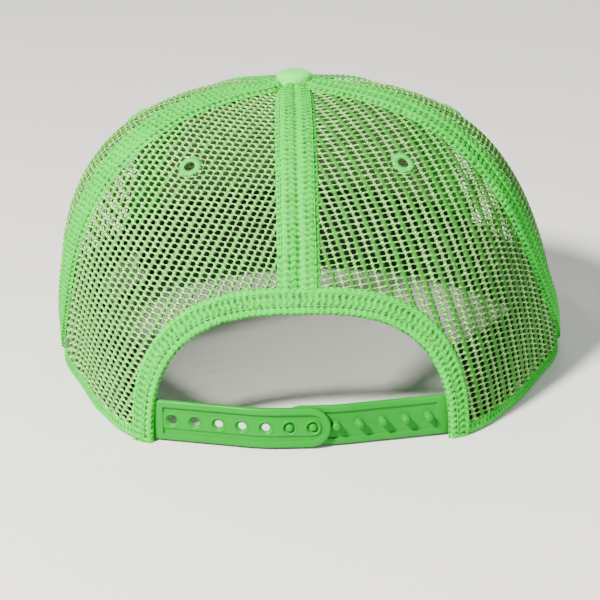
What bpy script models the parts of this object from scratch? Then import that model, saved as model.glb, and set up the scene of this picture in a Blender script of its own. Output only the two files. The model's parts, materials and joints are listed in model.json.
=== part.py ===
"""Trucker mesh cap: a six-panel crown, a stitched brim and a two-piece snap strap.

Metres, +Z up. The origin is on the surface that the cap rests on, under the middle of the
crown, and the brim points along -Y. Azimuths are in degrees from the centre back (+Y) towards
+X, the wearer's left. A depth is measured inwards from the crown's outer face.
"""

from math import atan2, cos, degrees, exp, pi, radians, sin

import bmesh
import bpy
from mathutils import Matrix, Vector

OBJECT_NAME = "trucker_mesh_cap"
GAP = 0.0003

# Crown: plan radius of the rim at each azimuth, mirrored to the other side.
RIM_PLAN = (
    (0, 0.0985),
    (20, 0.1010),
    (36, 0.1060),
    (50, 0.1005),
    (68, 0.0960),
    (88, 0.0995),
    (110, 0.1005),
    (140, 0.0960),
    (180, 0.0930),
)
CROWN_HEIGHT = 0.1120
TOP_RADIUS = 0.0978
ROUND_FROM = 0.85
SIDE_POWER = 2.85
BACK_POWER = 2.2
FRONT_POWER = 2.0
LEAN = 0.0055
LEAN_FADE = 0.45
FRONT_RISE = 0.010
FRONT_RISE_FROM = 95.0
TOP_HOLE_RADIUS = 0.0035

# Seams between the panels, as azimuths.
REAR_SEAM_TOP = 70.0
REAR_SEAM_FLARE = 26.0
FRONT_SEAM = 134.0
CENTRE_FRONT = 180.0

# Layers of the crown.
MESH_THICKNESS = 0.0009
FRONT_THICKNESS = 0.0008
BACKING_DEPTH = 0.0012
BACKING_THICKNESS = 0.0007
TAPE_DEPTH = 0.0023
TAPE_THICKNESS = 0.0006
FRONT_TAPE_WIDTH = 0.018
CENTRE_TAPE_WIDTH = 0.012
BAND_WIDTH = 0.016
BAND_THICKNESS = 0.0010
BAND_GAP = 0.0005
SWEATBAND_DEPTH = 0.0050
SWEATBAND_THICKNESS = 0.0013
SWEATBAND_HEIGHT = 0.032
SWEATBAND_HEM = 0.0015
SWEATBAND_END = 33.0
HEM_LOW = 0.0004
HEM_HEIGHT = 0.0040
LABEL_DEPTH = 0.0067
LABEL_THICKNESS = 0.0006
LABEL_AZIMUTHS = (114.0, 130.0)
LABEL_HEIGHTS = (0.009, 0.027)

# Rear opening, as seen along Y: a superellipse arch standing on the rim.
ARCH_HALF_WIDTH = 0.0550
ARCH_HEIGHT = 0.0500
ARCH_POWER = 2.6
BINDING_SIDE_WIDTH = 0.0075
BINDING_TOP_WIDTH = 0.0090
BINDING_PROUD = 0.0012
BINDING_THICKNESS = 0.0031

# Snap strap.
STRAP_LOW = 0.0008
STRAP_HIGH = 0.0164
STRAP_FLAT = 0.0080
STRAP_BEND = 0.0450
STRAP_LINE_Y = 0.09635
FEMALE_SLOPE = 15.0
MALE_SLOPE = 11.7
HINGE_REACH = 0.0518
FEMALE_THICKNESS = 0.0020
MALE_THICKNESS = 0.0017
FEMALE_TIP = -0.0110
MALE_TIP = -0.0075
RIM_WIDTH = 0.0015
FEMALE_RECESS = 0.00055
MALE_RECESS = 0.00045
SNAP_COUNT = 7
SNAP_PITCH = 0.0086
SNAPS_SHARED = 2
HOLE_RADIUS = 0.0019
PEG_BASE_RADIUS = 0.0015
PEG_TIP_RADIUS = 0.0013
PEG_HEIGHT = 0.0030
TAB_END = 0.0615
TAB_DEPTH = 0.0024

# Brim.
BRIM_AZIMUTH = 118.0
BRIM_HALF_WIDTH = 0.0900
BRIM_FRONT_Y = -0.1610
BRIM_CORNER_Y = -0.0485
BRIM_POWER = 2.35
BRIM_EDGE_HEIGHT = 0.0005
BRIM_ARCH = 0.0095
BRIM_DROOP = 0.015
BRIM_COVER = 0.0006
BRIM_BOARD = 0.0020
BRIM_BOARD_INSET = 0.03

# Button and eyelets.
BUTTON_RADIUS = 0.0072
BUTTON_HEIGHT = 0.0050
EYELET_OUTER = 0.0037
EYELET_INNER = 0.0017
EYELET_PROUD = 0.0005
EYELET_THICKNESS = 0.0019
EYELETS = {
    "eyelet_rear_left": (39.5, 0.585),
    "eyelet_rear_right": (-39.5, 0.585),
    "eyelet_side_left": (103.0, 0.585),
    "eyelet_side_right": (-103.0, 0.585),
    "eyelet_front_left": (157.0, 0.585),
    "eyelet_front_right": (-157.0, 0.585),
}

# The cap's own origin is the middle of its footprint, and the crown's axis stands off it.
CROWN_AXIS = Vector((0.0054, 0.0310, 0.0))

GREEN_MESH = ((0.13, 0.62, 0.16), 0.75, 0.0)
GREEN_CLOTH = ((0.15, 0.66, 0.20), 0.85, 0.0)
GREEN_PLASTIC = ((0.045, 0.50, 0.075), 0.35, 0.0)
WHITE_CLOTH = ((0.78, 0.77, 0.72), 0.90, 0.0)
BLACK_CLOTH = ((0.012, 0.012, 0.013), 0.95, 0.0)
BOARD_PLASTIC = ((0.55, 0.55, 0.52), 0.50, 0.0)
RIVET_METAL = ((0.60, 0.60, 0.58), 0.30, 1.0)


def ease(value):
    t = min(max(value, 0.0), 1.0)
    return t * t * (3 - 2 * t)


def rim_radius(azimuth):
    """Plan radius at an azimuth: a smooth cubic through the RIM_PLAN points."""
    turned = abs((azimuth + 180.0) % 360.0 - 180.0)
    mirrored_start = (-RIM_PLAN[1][0], RIM_PLAN[1][1])
    mirrored_end = (360.0 - RIM_PLAN[-2][0], RIM_PLAN[-2][1])
    points = (mirrored_start, *RIM_PLAN, mirrored_end)
    index = 1
    while index < len(points) - 3 and turned > points[index + 1][0]:
        index += 1
    (a0, r0), (a1, r1), (a2, r2), (a3, r3) = points[index - 1 : index + 3]
    span = a2 - a1
    t = (turned - a1) / span
    start = (r2 - r0) / (a2 - a0) * span
    end = (r3 - r1) / (a3 - a1) * span
    return (
        (2 * t**3 - 3 * t**2 + 1) * r1
        + (t**3 - 2 * t**2 + t) * start
        + (3 * t**2 - 2 * t**3) * r2
        + (t**3 - t**2) * end
    )


def rim_height(azimuth):
    turned = abs((azimuth + 180.0) % 360.0 - 180.0)
    return FRONT_RISE * ease((turned - FRONT_RISE_FROM) / (180.0 - FRONT_RISE_FROM))


def section_power(azimuth):
    """Superellipse power of the crown's upright section at an azimuth."""
    back = max(cos(radians(azimuth)), 0.0) ** 1.5
    front = max(-cos(radians(azimuth)), 0.0)
    return SIDE_POWER + (BACK_POWER - SIDE_POWER) * back + (FRONT_POWER - SIDE_POWER) * front


def crown_outer(azimuth, climb):
    """Point on the crown's outer face: climb is 0 at the rim and 1 at the top."""
    power = section_power(azimuth)
    across = max(cos(climb * pi / 2), 1e-9)
    up = sin(climb * pi / 2)
    size = (across**power + abs(up) ** power) ** (-1 / power)
    across *= size
    up *= size
    radius = rim_radius(azimuth)
    radius += (TOP_RADIUS - radius) * ease(up / ROUND_FROM)
    low = rim_height(azimuth)
    side = sin(radians(azimuth))
    x = radius * across * side - LEAN * exp(-((up / LEAN_FADE) ** 2)) * abs(side) ** 3
    y = radius * across * cos(radians(azimuth))
    return Vector((x, y, low + (CROWN_HEIGHT - low) * up))


def crown_normal(azimuth, climb):
    low = max(climb - 0.004, 0.0)
    along = crown_outer(azimuth + 0.4, climb) - crown_outer(azimuth - 0.4, climb)
    rise = crown_outer(azimuth, low + 0.008) - crown_outer(azimuth, low)
    return rise.cross(along).normalized()


def crown_point(azimuth, climb, depth=0.0):
    return crown_outer(azimuth, climb) - crown_normal(azimuth, climb) * depth


def climb_at(azimuth, height):
    """The climb at which the crown's outer face reaches a height."""
    power = section_power(azimuth)
    low = rim_height(azimuth)
    up = min(max((height - low) / (CROWN_HEIGHT - low), 0.0), 1.0)
    across = (1 - up**power) ** (1 / power)
    return atan2(up, across) / (pi / 2)


def back_azimuth(x, height, depth=0.0):
    """Azimuth at which the back of the crown reaches x, at a given height and depth."""
    low, high = -80.0, 80.0
    for _ in range(30):
        middle = (low + high) / 2
        if crown_point(middle, climb_at(middle, height), depth).x < x:
            low = middle
        else:
            high = middle
    return (low + high) / 2


def rear_seam(climb):
    """Azimuth of the seam between a rear and a side panel, flaring forwards near the rim."""
    return REAR_SEAM_TOP + REAR_SEAM_FLARE * (1 - sin(climb * pi / 2)) ** 3


def top_climb(radius):
    return 1 - (radius / TOP_RADIUS) / (pi / 2)


def half_angle(azimuth, climb, width):
    reach = crown_outer(azimuth, climb).to_2d().length
    return degrees(atan2(width / 2, reach))


cap = bpy.data.collections.new(OBJECT_NAME)
cutters = bpy.data.collections.new(OBJECT_NAME + "_cutters")


def clear_scene():
    for obj in list(bpy.data.objects):
        bpy.data.objects.remove(obj, do_unlink=True)
    bpy.context.scene.collection.children.link(cap)
    bpy.context.scene.collection.children.link(cutters)


def material(name, look):
    colour, roughness, metallic = look
    made = bpy.data.materials.new(name)
    made.use_nodes = True
    shader = made.node_tree.nodes["Principled BSDF"]
    shader.inputs["Base Color"].default_value = (*colour, 1.0)
    shader.inputs["Roughness"].default_value = roughness
    shader.inputs["Metallic"].default_value = metallic
    made.diffuse_color = (*colour, 1.0)
    return made


def add_object(name, bm, look=None, smooth=40.0):
    """Makes an object from a bmesh: a part of the cap, or a cutter if it has no look."""
    mesh = bpy.data.meshes.new(name)
    bm.to_mesh(mesh)
    bm.free()
    obj = bpy.data.objects.new(name, mesh)
    if look is None:
        cutters.objects.link(obj)
        obj.hide_render = True
        obj.display_type = "WIRE"
        return obj
    cap.objects.link(obj)
    obj.parent = axis
    mesh.materials.append(material(name, look))
    mesh.shade_smooth()
    mesh.set_sharp_from_angle(angle=radians(smooth))
    return obj


def sheet(name, columns, rows, place, thickness, look):
    """A grid laid by place(u, v), 0 to 1 each way, and thickened towards its back."""
    bm = bmesh.new()
    bmesh.ops.create_grid(bm, x_segments=columns, y_segments=rows, size=0.5)
    for vert in bm.verts:
        vert.co = place(vert.co.x + 0.5, vert.co.y + 0.5)
    obj = add_object(name, bm, look)
    shell = obj.modifiers.new("thickness", "SOLIDIFY")
    shell.thickness = thickness
    shell.offset = -1.0
    shell.use_even_offset = False
    return obj


def boolean(obj, cutter, operation="DIFFERENCE"):
    cut = obj.modifiers.new(operation.lower() + "_" + cutter.name, "BOOLEAN")
    cut.object = cutter
    cut.operation = operation
    cut.solver = "EXACT"


def panel(name, start, end, depth, thickness, look, columns, rows=12):
    """A crown panel between two seams, each given as a function of the climb."""
    summit = top_climb(TOP_HOLE_RADIUS)

    def place(u, v):
        climb = v * summit
        reach = crown_outer(start(climb), climb).to_2d().length
        margin = degrees(GAP / 2 / reach)
        low = start(climb) + margin
        high = end(climb) - margin
        return crown_point(high + (low - high) * u, climb, depth)

    return sheet(name, columns, rows, place, thickness, look)


def strip(name, middle, width, climbs, depth, thickness, limit, look, columns=4, rows=14):
    """A band of constant width along a seam, narrowed to a wedge next to the button."""

    def place(u, v):
        climb = climbs[0] + (climbs[1] - climbs[0]) * v
        azimuth = middle(climb)
        half = min(half_angle(azimuth, climb, width), limit)
        return crown_point(azimuth + half * (1 - 2 * u), climb, depth)

    return sheet(name, columns, rows, place, thickness, look)


def arch_points(half_width, height, count=28):
    points = []
    for index in range(count + 1):
        turn = pi * index / count
        across = abs(cos(turn)) ** (2 / ARCH_POWER) * (1 if cos(turn) >= 0 else -1)
        up = max(sin(turn), 0.0) ** (2 / ARCH_POWER)
        points.append((half_width * across, height * up))
    return points


def arch_cutter(name, half_width, height, bottom=-0.010):
    """A prism along Y with the arch's outline, running on down to its bottom."""
    outline = arch_points(half_width, height)[1:-1]
    outline = [(half_width, bottom), *outline, (-half_width, bottom)]
    bm = bmesh.new()
    face = bm.faces.new([bm.verts.new((x, 0.03, z)) for x, z in outline])
    grown = bmesh.ops.extrude_face_region(bm, geom=[face])
    moved = [item for item in grown["geom"] if isinstance(item, bmesh.types.BMVert)]
    bmesh.ops.translate(bm, verts=moved, vec=(0, 0.12, 0))
    bmesh.ops.recalc_face_normals(bm, faces=bm.faces)
    cutter = add_object(name, bm)
    cutter.parent = axis
    return cutter


def turned(name, profile, look, steps=16):
    """A solid of revolution about the object's own Z, from its outer side's top to bottom."""
    mesh = bpy.data.meshes.new(name)
    edges = [(index, index + 1) for index in range(len(profile) - 1)]
    mesh.from_pydata([(radius, 0.0, height) for radius, height in profile], edges, [])
    obj = bpy.data.objects.new(name, mesh)
    cap.objects.link(obj)
    obj.parent = axis
    mesh.materials.append(material(name, look))
    screw = obj.modifiers.new("turn", "SCREW")
    screw.steps = steps
    screw.render_steps = steps
    screw.use_merge_vertices = True
    screw.merge_threshold = 0.00001
    screw.use_smooth_shade = True
    return obj


def back_middle(_climb):
    return 0.0


def front_seam(_climb):
    return FRONT_SEAM


def front_middle(_climb):
    return CENTRE_FRONT


def make_panels():
    backing = (BACKING_DEPTH, BACKING_THICKNESS, WHITE_CLOTH, 6)
    seams = {
        "rear_mesh": (back_middle, rear_seam, 0.0, MESH_THICKNESS, GREEN_MESH, 10),
        "side_mesh": (rear_seam, front_seam, 0.0, MESH_THICKNESS, GREEN_MESH, 9),
        "front_panel": (front_seam, front_middle, 0.0, FRONT_THICKNESS, GREEN_CLOTH, 6),
        "front_backing": (front_seam, front_middle, *backing),
    }
    made = {}
    for name, (start, end, depth, thickness, look, columns) in seams.items():
        made[name + "_left"] = panel(
            name + "_left", start, end, depth, thickness, look, columns
        )
        made[name + "_right"] = panel(
            name + "_right",
            lambda climb, edge=end: -edge(climb),
            lambda climb, edge=start: -edge(climb),
            depth,
            thickness,
            look,
            columns,
        )
    clearance = arch_cutter(
        "arch_clearance",
        ARCH_HALF_WIDTH + BINDING_SIDE_WIDTH + GAP,
        ARCH_HEIGHT + BINDING_TOP_WIDTH + GAP,
    )
    boolean(made["rear_mesh_left"], clearance)
    boolean(made["rear_mesh_right"], clearance)
    return made, clearance


def make_bands(clearance):
    summit = top_climb(BUTTON_RADIUS + GAP)
    proud = -(BAND_GAP + BAND_THICKNESS)
    arch_top = climb_at(0.0, ARCH_HEIGHT + BINDING_TOP_WIDTH + 2 * GAP)
    hem_top = climb_at(REAR_SEAM_TOP + REAR_SEAM_FLARE, HEM_HEIGHT + GAP)
    strip(
        "center_back_seam_band",
        back_middle,
        BAND_WIDTH,
        (arch_top, summit),
        proud,
        BAND_THICKNESS,
        33.0,
        GREEN_MESH,
    )
    for side, sign in (("left", 1), ("right", -1)):
        strip(
            "rear_seam_band_" + side,
            lambda climb, sign=sign: sign * rear_seam(climb),
            BAND_WIDTH,
            (hem_top, summit),
            proud,
            BAND_THICKNESS,
            33.0,
            GREEN_MESH,
        )
        strip(
            "front_seam_tape_" + side,
            lambda climb, sign=sign: sign * FRONT_SEAM,
            FRONT_TAPE_WIDTH,
            (0.0, summit),
            TAPE_DEPTH,
            TAPE_THICKNESS,
            22.0,
            GREEN_CLOTH,
        )
        first = back_azimuth(ARCH_HALF_WIDTH + BINDING_SIDE_WIDTH, HEM_HEIGHT) - 4.0

        def place(u, v, sign=sign, first=first):
            low, high = sorted((sign * first, sign * (BRIM_AZIMUTH - 1.0)))
            azimuth = high + (low - high) * u
            height = rim_height(azimuth) + HEM_LOW + v * (HEM_HEIGHT - HEM_LOW)
            return crown_point(azimuth, climb_at(azimuth, height), proud)

        hem = sheet("rim_hem_" + side, 22, 1, place, BAND_THICKNESS, GREEN_CLOTH)
        boolean(hem, clearance)
    strip(
        "center_front_seam_tape",
        front_middle,
        CENTRE_TAPE_WIDTH,
        (0.0, summit),
        TAPE_DEPTH,
        TAPE_THICKNESS,
        22.0,
        WHITE_CLOTH,
    )


def make_binding():
    top = climb_at(0.0, ARCH_HEIGHT + BINDING_TOP_WIDTH + 0.008)

    def place(u, v):
        return crown_point(42.0 - 84.0 * u, (v * 1.03 - 0.03) * top, -BINDING_PROUD)

    binding = sheet("opening_binding", 18, 8, place, BINDING_THICKNESS, GREEN_MESH)
    outer = arch_cutter(
        "arch_outer",
        ARCH_HALF_WIDTH + BINDING_SIDE_WIDTH,
        ARCH_HEIGHT + BINDING_TOP_WIDTH,
        bottom=0.0,
    )
    boolean(binding, outer, "INTERSECT")
    boolean(binding, arch_cutter("arch_inner", ARCH_HALF_WIDTH, ARCH_HEIGHT))


def make_inside():
    def sweatband(u, v):
        azimuth = 360.0 - SWEATBAND_END + (2 * SWEATBAND_END - 360.0) * u
        height = rim_height(azimuth) + SWEATBAND_HEM + v * SWEATBAND_HEIGHT
        return crown_point(azimuth, climb_at(azimuth, height), SWEATBAND_DEPTH)

    sheet("sweatband", 34, 3, sweatband, SWEATBAND_THICKNESS, BLACK_CLOTH)

    def label(u, v):
        azimuth = LABEL_AZIMUTHS[1] + (LABEL_AZIMUTHS[0] - LABEL_AZIMUTHS[1]) * u
        height = LABEL_HEIGHTS[0] + (LABEL_HEIGHTS[1] - LABEL_HEIGHTS[0]) * v
        return crown_point(azimuth, climb_at(azimuth, height), LABEL_DEPTH)

    sheet("care_label", 3, 2, label, LABEL_THICKNESS, WHITE_CLOTH)


def make_button():
    base = GAP
    cover = [
        (0.0, BUTTON_HEIGHT),
        (BUTTON_RADIUS * 0.40, BUTTON_HEIGHT * 0.98),
        (BUTTON_RADIUS * 0.72, BUTTON_HEIGHT * 0.88),
        (BUTTON_RADIUS * 0.93, BUTTON_HEIGHT * 0.68),
        (BUTTON_RADIUS, BUTTON_HEIGHT * 0.42),
        (BUTTON_RADIUS * 0.97, base),
        (0.0, base),
    ]
    button = turned("button_cover", cover, GREEN_CLOTH, 24)
    button.location = (0, 0, CROWN_HEIGHT)
    shank = TOP_HOLE_RADIUS - GAP
    flange = TAPE_DEPTH + TAPE_THICKNESS + 2 * GAP
    rivet = [
        (0.0, 0.0),
        (shank, 0.0),
        (shank, -flange),
        (BUTTON_RADIUS * 0.8, -flange),
        (BUTTON_RADIUS * 0.8, -flange - 0.0009),
        (0.0, -flange - 0.0012),
    ]
    made = turned("button_rivet", rivet, RIVET_METAL, 20)
    made.location = (0, 0, CROWN_HEIGHT)


def make_eyelets(panels):
    for name, (azimuth, climb) in EYELETS.items():
        front = name.startswith("eyelet_front")
        through = EYELET_THICKNESS + (0.0010 if front else 0.0)
        middle = (EYELET_OUTER + EYELET_INNER) / 2
        low = EYELET_PROUD - through
        profile = [
            (middle, EYELET_PROUD),
            (EYELET_OUTER, EYELET_PROUD * 0.5),
            (EYELET_OUTER, low * 0.9),
            (middle, low),
            (EYELET_INNER, low * 0.9),
            (EYELET_INNER, EYELET_PROUD * 0.5),
            (middle, EYELET_PROUD),
        ]
        eyelet = turned(name, profile, GREEN_CLOTH)
        centre = crown_point(azimuth, climb)
        facing = crown_normal(azimuth, climb).to_track_quat("Z", "Y")
        place = Matrix.Translation(centre) @ facing.to_matrix().to_4x4()
        eyelet.matrix_local = place
        bm = bmesh.new()
        bmesh.ops.create_cone(
            bm,
            cap_ends=True,
            segments=16,
            radius1=EYELET_OUTER + GAP,
            radius2=EYELET_OUTER + GAP,
            depth=0.012,
        )
        cutter = add_object(name + "_hole", bm)
        cutter.parent = axis
        cutter.matrix_local = place
        side = name.rsplit("_", 1)[1]
        cloths = ("front_panel", "front_backing") if front else (name.split("_")[1] + "_mesh",)
        for cloth in cloths:
            boolean(panels[cloth + "_" + side], cutter)


def strap_line(x, slope):
    """(y, heading) in plan of the strap's line at a distance x from the middle."""
    start = STRAP_FLAT
    turn = radians(slope)
    end = start + STRAP_BEND * sin(turn)
    if x <= start:
        return STRAP_LINE_Y, 0.0
    if x <= end:
        heading = (x - start) / STRAP_BEND
        return STRAP_LINE_Y - STRAP_BEND * (1 - (1 - heading**2) ** 0.5), heading
    drop = STRAP_BEND * (1 - cos(turn)) + (x - end) * sin(turn) / cos(turn)
    return STRAP_LINE_Y - drop, turn


def strap_point(x, height, out, sign, slope):
    """Point of a strap on side sign: x runs outwards from the middle, out away from the head."""
    y, heading = strap_line(x, slope)
    return Vector((sign * (x + out * sin(heading)), y + out * cos(heading), height))


def hinge_of(sign, slope, middle):
    return strap_point(HINGE_REACH, 0.0, middle, sign, slope)


def strap_block(name, sign, slope, span, heights, outs, hinge, look=None, tip=False, columns=16):
    """A bar along the strap's line, with its end at the tip rounded over its height."""
    half = (heights[1] - heights[0]) / 2
    rows = 8 if tip else 1
    bm = bmesh.new()
    bmesh.ops.create_grid(bm, x_segments=columns, y_segments=rows, size=0.5)
    faces = bmesh.ops.extrude_face_region(bm, geom=list(bm.faces))
    for item in faces["geom"]:
        if isinstance(item, bmesh.types.BMVert):
            item.co.z = 1.0
    for vert in bm.verts:
        u, v, layer = vert.co.x + 0.5, vert.co.y + 0.5, vert.co.z
        offset = sin((v - 0.5) * pi) * half if tip else (v - 0.5) * 2 * half
        start = span[0] + (half - (max(half**2 - offset**2, 0.0)) ** 0.5 if tip else 0.0)
        x = start + (span[1] - start) * u
        out = outs[0] + (outs[1] - outs[0]) * layer
        height = (heights[0] + heights[1]) / 2 + offset
        vert.co = strap_point(x, height, out, sign, slope) - hinge
    bmesh.ops.recalc_face_normals(bm, faces=bm.faces)
    obj = add_object(name, bm, look)
    obj.parent = axis
    obj.location = hinge
    return obj


def snap_places():
    """Each snap's distance from the strap's middle, on its own side: the shared ones come first."""
    first = -(SNAPS_SHARED - 1) / 2 * SNAP_PITCH
    return [first + index * SNAP_PITCH for index in range(SNAP_COUNT)]


def snap_cone(name, x, base, tip, outs, sign, slope, hinge, segments=14):
    """A cone across the strap at a snap, from the out distance outs[0] to outs[1]."""
    bm = bmesh.new()
    bmesh.ops.create_cone(
        bm, cap_ends=True, segments=segments, radius1=base, radius2=tip, depth=outs[1] - outs[0]
    )
    y, heading = strap_line(x, slope)
    facing = Vector((sign * sin(heading), cos(heading), 0.0)).to_track_quat("Z", "Y")
    height = (STRAP_LOW + STRAP_HIGH) / 2
    centre = strap_point(x, height, (outs[0] + outs[1]) / 2, sign, slope)
    place = Matrix.Translation(centre - hinge) @ facing.to_matrix().to_4x4()
    bmesh.ops.transform(bm, matrix=place, verts=bm.verts)
    obj = add_object(name, bm)
    obj.parent = axis
    obj.location = hinge
    return obj


def make_straps():
    inner = (STRAP_LOW + RIM_WIDTH, STRAP_HIGH - RIM_WIDTH)
    heights = (STRAP_LOW, STRAP_HIGH)
    # The male strap's outer face is at 0 and the female strap's inner face a gap outside it.
    low = GAP
    high = GAP + FEMALE_THICKNESS
    hinge = hinge_of(1, FEMALE_SLOPE, (low + high) / 2)
    female = strap_block(
        "snap_strap_female",
        1,
        FEMALE_SLOPE,
        (FEMALE_TIP, HINGE_REACH),
        heights,
        (low, high),
        hinge,
        GREEN_PLASTIC,
        tip=True,
    )
    recess = strap_block(
        "female_recess",
        1,
        FEMALE_SLOPE,
        (FEMALE_TIP + RIM_WIDTH, HINGE_REACH - 2 * RIM_WIDTH),
        inner,
        (high - FEMALE_RECESS, high + 0.001),
        hinge,
        tip=True,
    )
    boolean(female, recess)
    floor = high - FEMALE_RECESS
    for index, x in enumerate(snap_places()):
        hole = snap_cone(
            f"female_hole_{index + 1}",
            x,
            HOLE_RADIUS,
            HOLE_RADIUS,
            (low - 0.001, high + 0.001),
            1,
            FEMALE_SLOPE,
            hinge,
        )
        boolean(female, hole)
    male_hinge = hinge_of(-1, MALE_SLOPE, -MALE_THICKNESS / 2)
    male = strap_block(
        "snap_strap_male",
        -1,
        MALE_SLOPE,
        (MALE_TIP, HINGE_REACH),
        heights,
        (-MALE_THICKNESS, 0.0),
        male_hinge,
        GREEN_PLASTIC,
        tip=True,
    )
    male_recess = strap_block(
        "male_recess",
        -1,
        MALE_SLOPE,
        (MALE_TIP + RIM_WIDTH, HINGE_REACH - 2 * RIM_WIDTH),
        inner,
        (-MALE_RECESS, 0.001),
        male_hinge,
        tip=True,
    )
    boolean(male, male_recess)
    for index, x in enumerate(snap_places()):
        peg = snap_cone(
            f"male_peg_{index + 1}",
            x,
            PEG_BASE_RADIUS,
            PEG_TIP_RADIUS,
            (-MALE_THICKNESS / 2, PEG_HEIGHT - MALE_RECESS),
            -1,
            MALE_SLOPE,
            male_hinge,
            12,
        )
        boolean(male, peg, "UNION")
    make_tabs()


def make_tabs():
    """The sewn end of each strap, lying on the inside of the binding."""
    for side, sign, thickness in (("female", 1, FEMALE_THICKNESS), ("male", -1, MALE_THICKNESS)):
        start = HINGE_REACH + thickness / 2 + 4 * GAP
        right, left = sorted((sign * start, sign * TAB_END))

        def place(u, v, right=right, left=left):
            x = left + (right - left) * u
            height = STRAP_LOW + (STRAP_HIGH - STRAP_LOW) * v
            azimuth = back_azimuth(x, height, TAB_DEPTH)
            return crown_point(azimuth, climb_at(azimuth, height), TAB_DEPTH)

        sheet(f"snap_strap_{side}_tab", 3, 1, place, thickness, GREEN_PLASTIC)


def brim_outline(turn):
    across = abs(cos(turn)) ** (2 / BRIM_POWER) * (1 if cos(turn) >= 0 else -1)
    forward = max(sin(turn), 0.0) ** (2 / BRIM_POWER)
    reach = BRIM_CORNER_Y - BRIM_FRONT_Y
    return BRIM_HALF_WIDTH * across, BRIM_CORNER_Y - reach * forward


def brim_underside(x, y):
    arch = BRIM_ARCH * (1 - (x / BRIM_HALF_WIDTH) ** 2)
    return BRIM_EDGE_HEIGHT + arch + BRIM_DROOP * (y - BRIM_CORNER_Y)


def brim_layer(name, lift, thickness, inset, look):
    """One layer of the brim: its top face lies lift above the brim's underside."""

    def place(u, v):
        azimuth = BRIM_AZIMUTH + (360.0 - 2 * BRIM_AZIMUTH) * u
        root = crown_point(azimuth, climb_at(azimuth, rim_height(azimuth)), -2 * GAP)
        edge_x, edge_y = brim_outline(pi * u)
        reach = v * (1 - inset)
        x = root.x + (edge_x - root.x) * reach
        y = root.y + (edge_y - root.y) * reach
        return Vector((x, y, brim_underside(x, y) + lift))

    return sheet(name, 20, 8, place, thickness, look)


def make_brim():
    board_low = BRIM_COVER + GAP
    top_low = board_low + BRIM_BOARD + GAP
    brim_layer("brim_under_cover", BRIM_COVER, BRIM_COVER, 0.0, GREEN_CLOTH)
    brim_layer("brim_board", board_low + BRIM_BOARD, BRIM_BOARD, BRIM_BOARD_INSET, BOARD_PLASTIC)
    brim_layer("brim_top_cover", top_low + BRIM_COVER, BRIM_COVER, 0.0, GREEN_CLOTH)


clear_scene()
axis = bpy.data.objects.new("crown_axis", None)
cap.objects.link(axis)
axis.location = CROWN_AXIS
crown_panels, arch_clearance = make_panels()
make_bands(arch_clearance)
make_binding()
make_inside()
make_button()
make_eyelets(crown_panels)
make_straps()
make_brim()
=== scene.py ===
"""Looks of the trucker mesh cap: knitted mesh, sewn cloth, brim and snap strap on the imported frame.

Metres, +Z up, the brim towards -Y. The crown follows the CAD model's surface: azimuths are in
degrees from the centre back towards +X, climb is 0 at the rim and 1 at the top, and a depth is
measured inwards from the crown's outer face.
"""

import json
from contextlib import contextmanager
from math import cos, pi, radians, sin

import bmesh
import bpy
import numpy as np
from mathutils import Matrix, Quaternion, Vector

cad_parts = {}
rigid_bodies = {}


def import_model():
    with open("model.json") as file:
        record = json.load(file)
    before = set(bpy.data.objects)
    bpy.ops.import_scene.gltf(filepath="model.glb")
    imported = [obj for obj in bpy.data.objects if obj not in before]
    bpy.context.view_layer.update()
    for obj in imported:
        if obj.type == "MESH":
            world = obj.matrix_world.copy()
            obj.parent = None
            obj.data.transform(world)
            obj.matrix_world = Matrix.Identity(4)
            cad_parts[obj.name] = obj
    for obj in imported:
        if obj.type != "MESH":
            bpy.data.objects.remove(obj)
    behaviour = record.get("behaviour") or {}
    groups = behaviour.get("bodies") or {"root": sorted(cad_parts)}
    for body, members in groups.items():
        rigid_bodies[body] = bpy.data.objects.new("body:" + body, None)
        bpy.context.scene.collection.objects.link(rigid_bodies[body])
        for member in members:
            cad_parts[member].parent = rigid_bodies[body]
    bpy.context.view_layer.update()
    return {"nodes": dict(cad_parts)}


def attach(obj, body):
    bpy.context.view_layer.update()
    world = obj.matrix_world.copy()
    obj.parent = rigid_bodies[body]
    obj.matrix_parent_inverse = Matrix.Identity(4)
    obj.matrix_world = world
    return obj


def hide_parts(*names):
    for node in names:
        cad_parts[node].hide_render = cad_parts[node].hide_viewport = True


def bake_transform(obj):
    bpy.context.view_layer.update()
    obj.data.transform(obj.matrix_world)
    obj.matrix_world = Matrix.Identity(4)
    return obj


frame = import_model()
MM = 0.001

# Crown, as in the CAD model.
AXIS = np.array((5.4, 31.0, 0.0)) * MM
RIM_PLAN = np.array(
    [(0, 98.5), (20, 101), (36, 106), (50, 100.5), (68, 96), (88, 99.5), (110, 100.5), (140, 96), (180, 93)]
)
CROWN_HEIGHT = 112 * MM
TOP_RADIUS = 97.8 * MM
REAR_SEAM_TOP, REAR_SEAM_FLARE = 70.0, 26.0
FRONT_SEAM = 134.0

# Rear opening and its binding.
ARCH_HALF_WIDTH, ARCH_HEIGHT, ARCH_POWER = 55 * MM, 50 * MM, 2.6
BINDING_SIDE, BINDING_TOP = 7.5 * MM, 9.0 * MM

# Knitted mesh: the hole's half sizes, the cloth's thickness, the raised yarn and the cloth's middle.
HOLE = np.array((0.88, 1.02)) * MM
KNIT_THICKNESS, RIDGE, KNIT_DEPTH = 0.60 * MM, 0.28 * MM, 0.45 * MM

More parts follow.
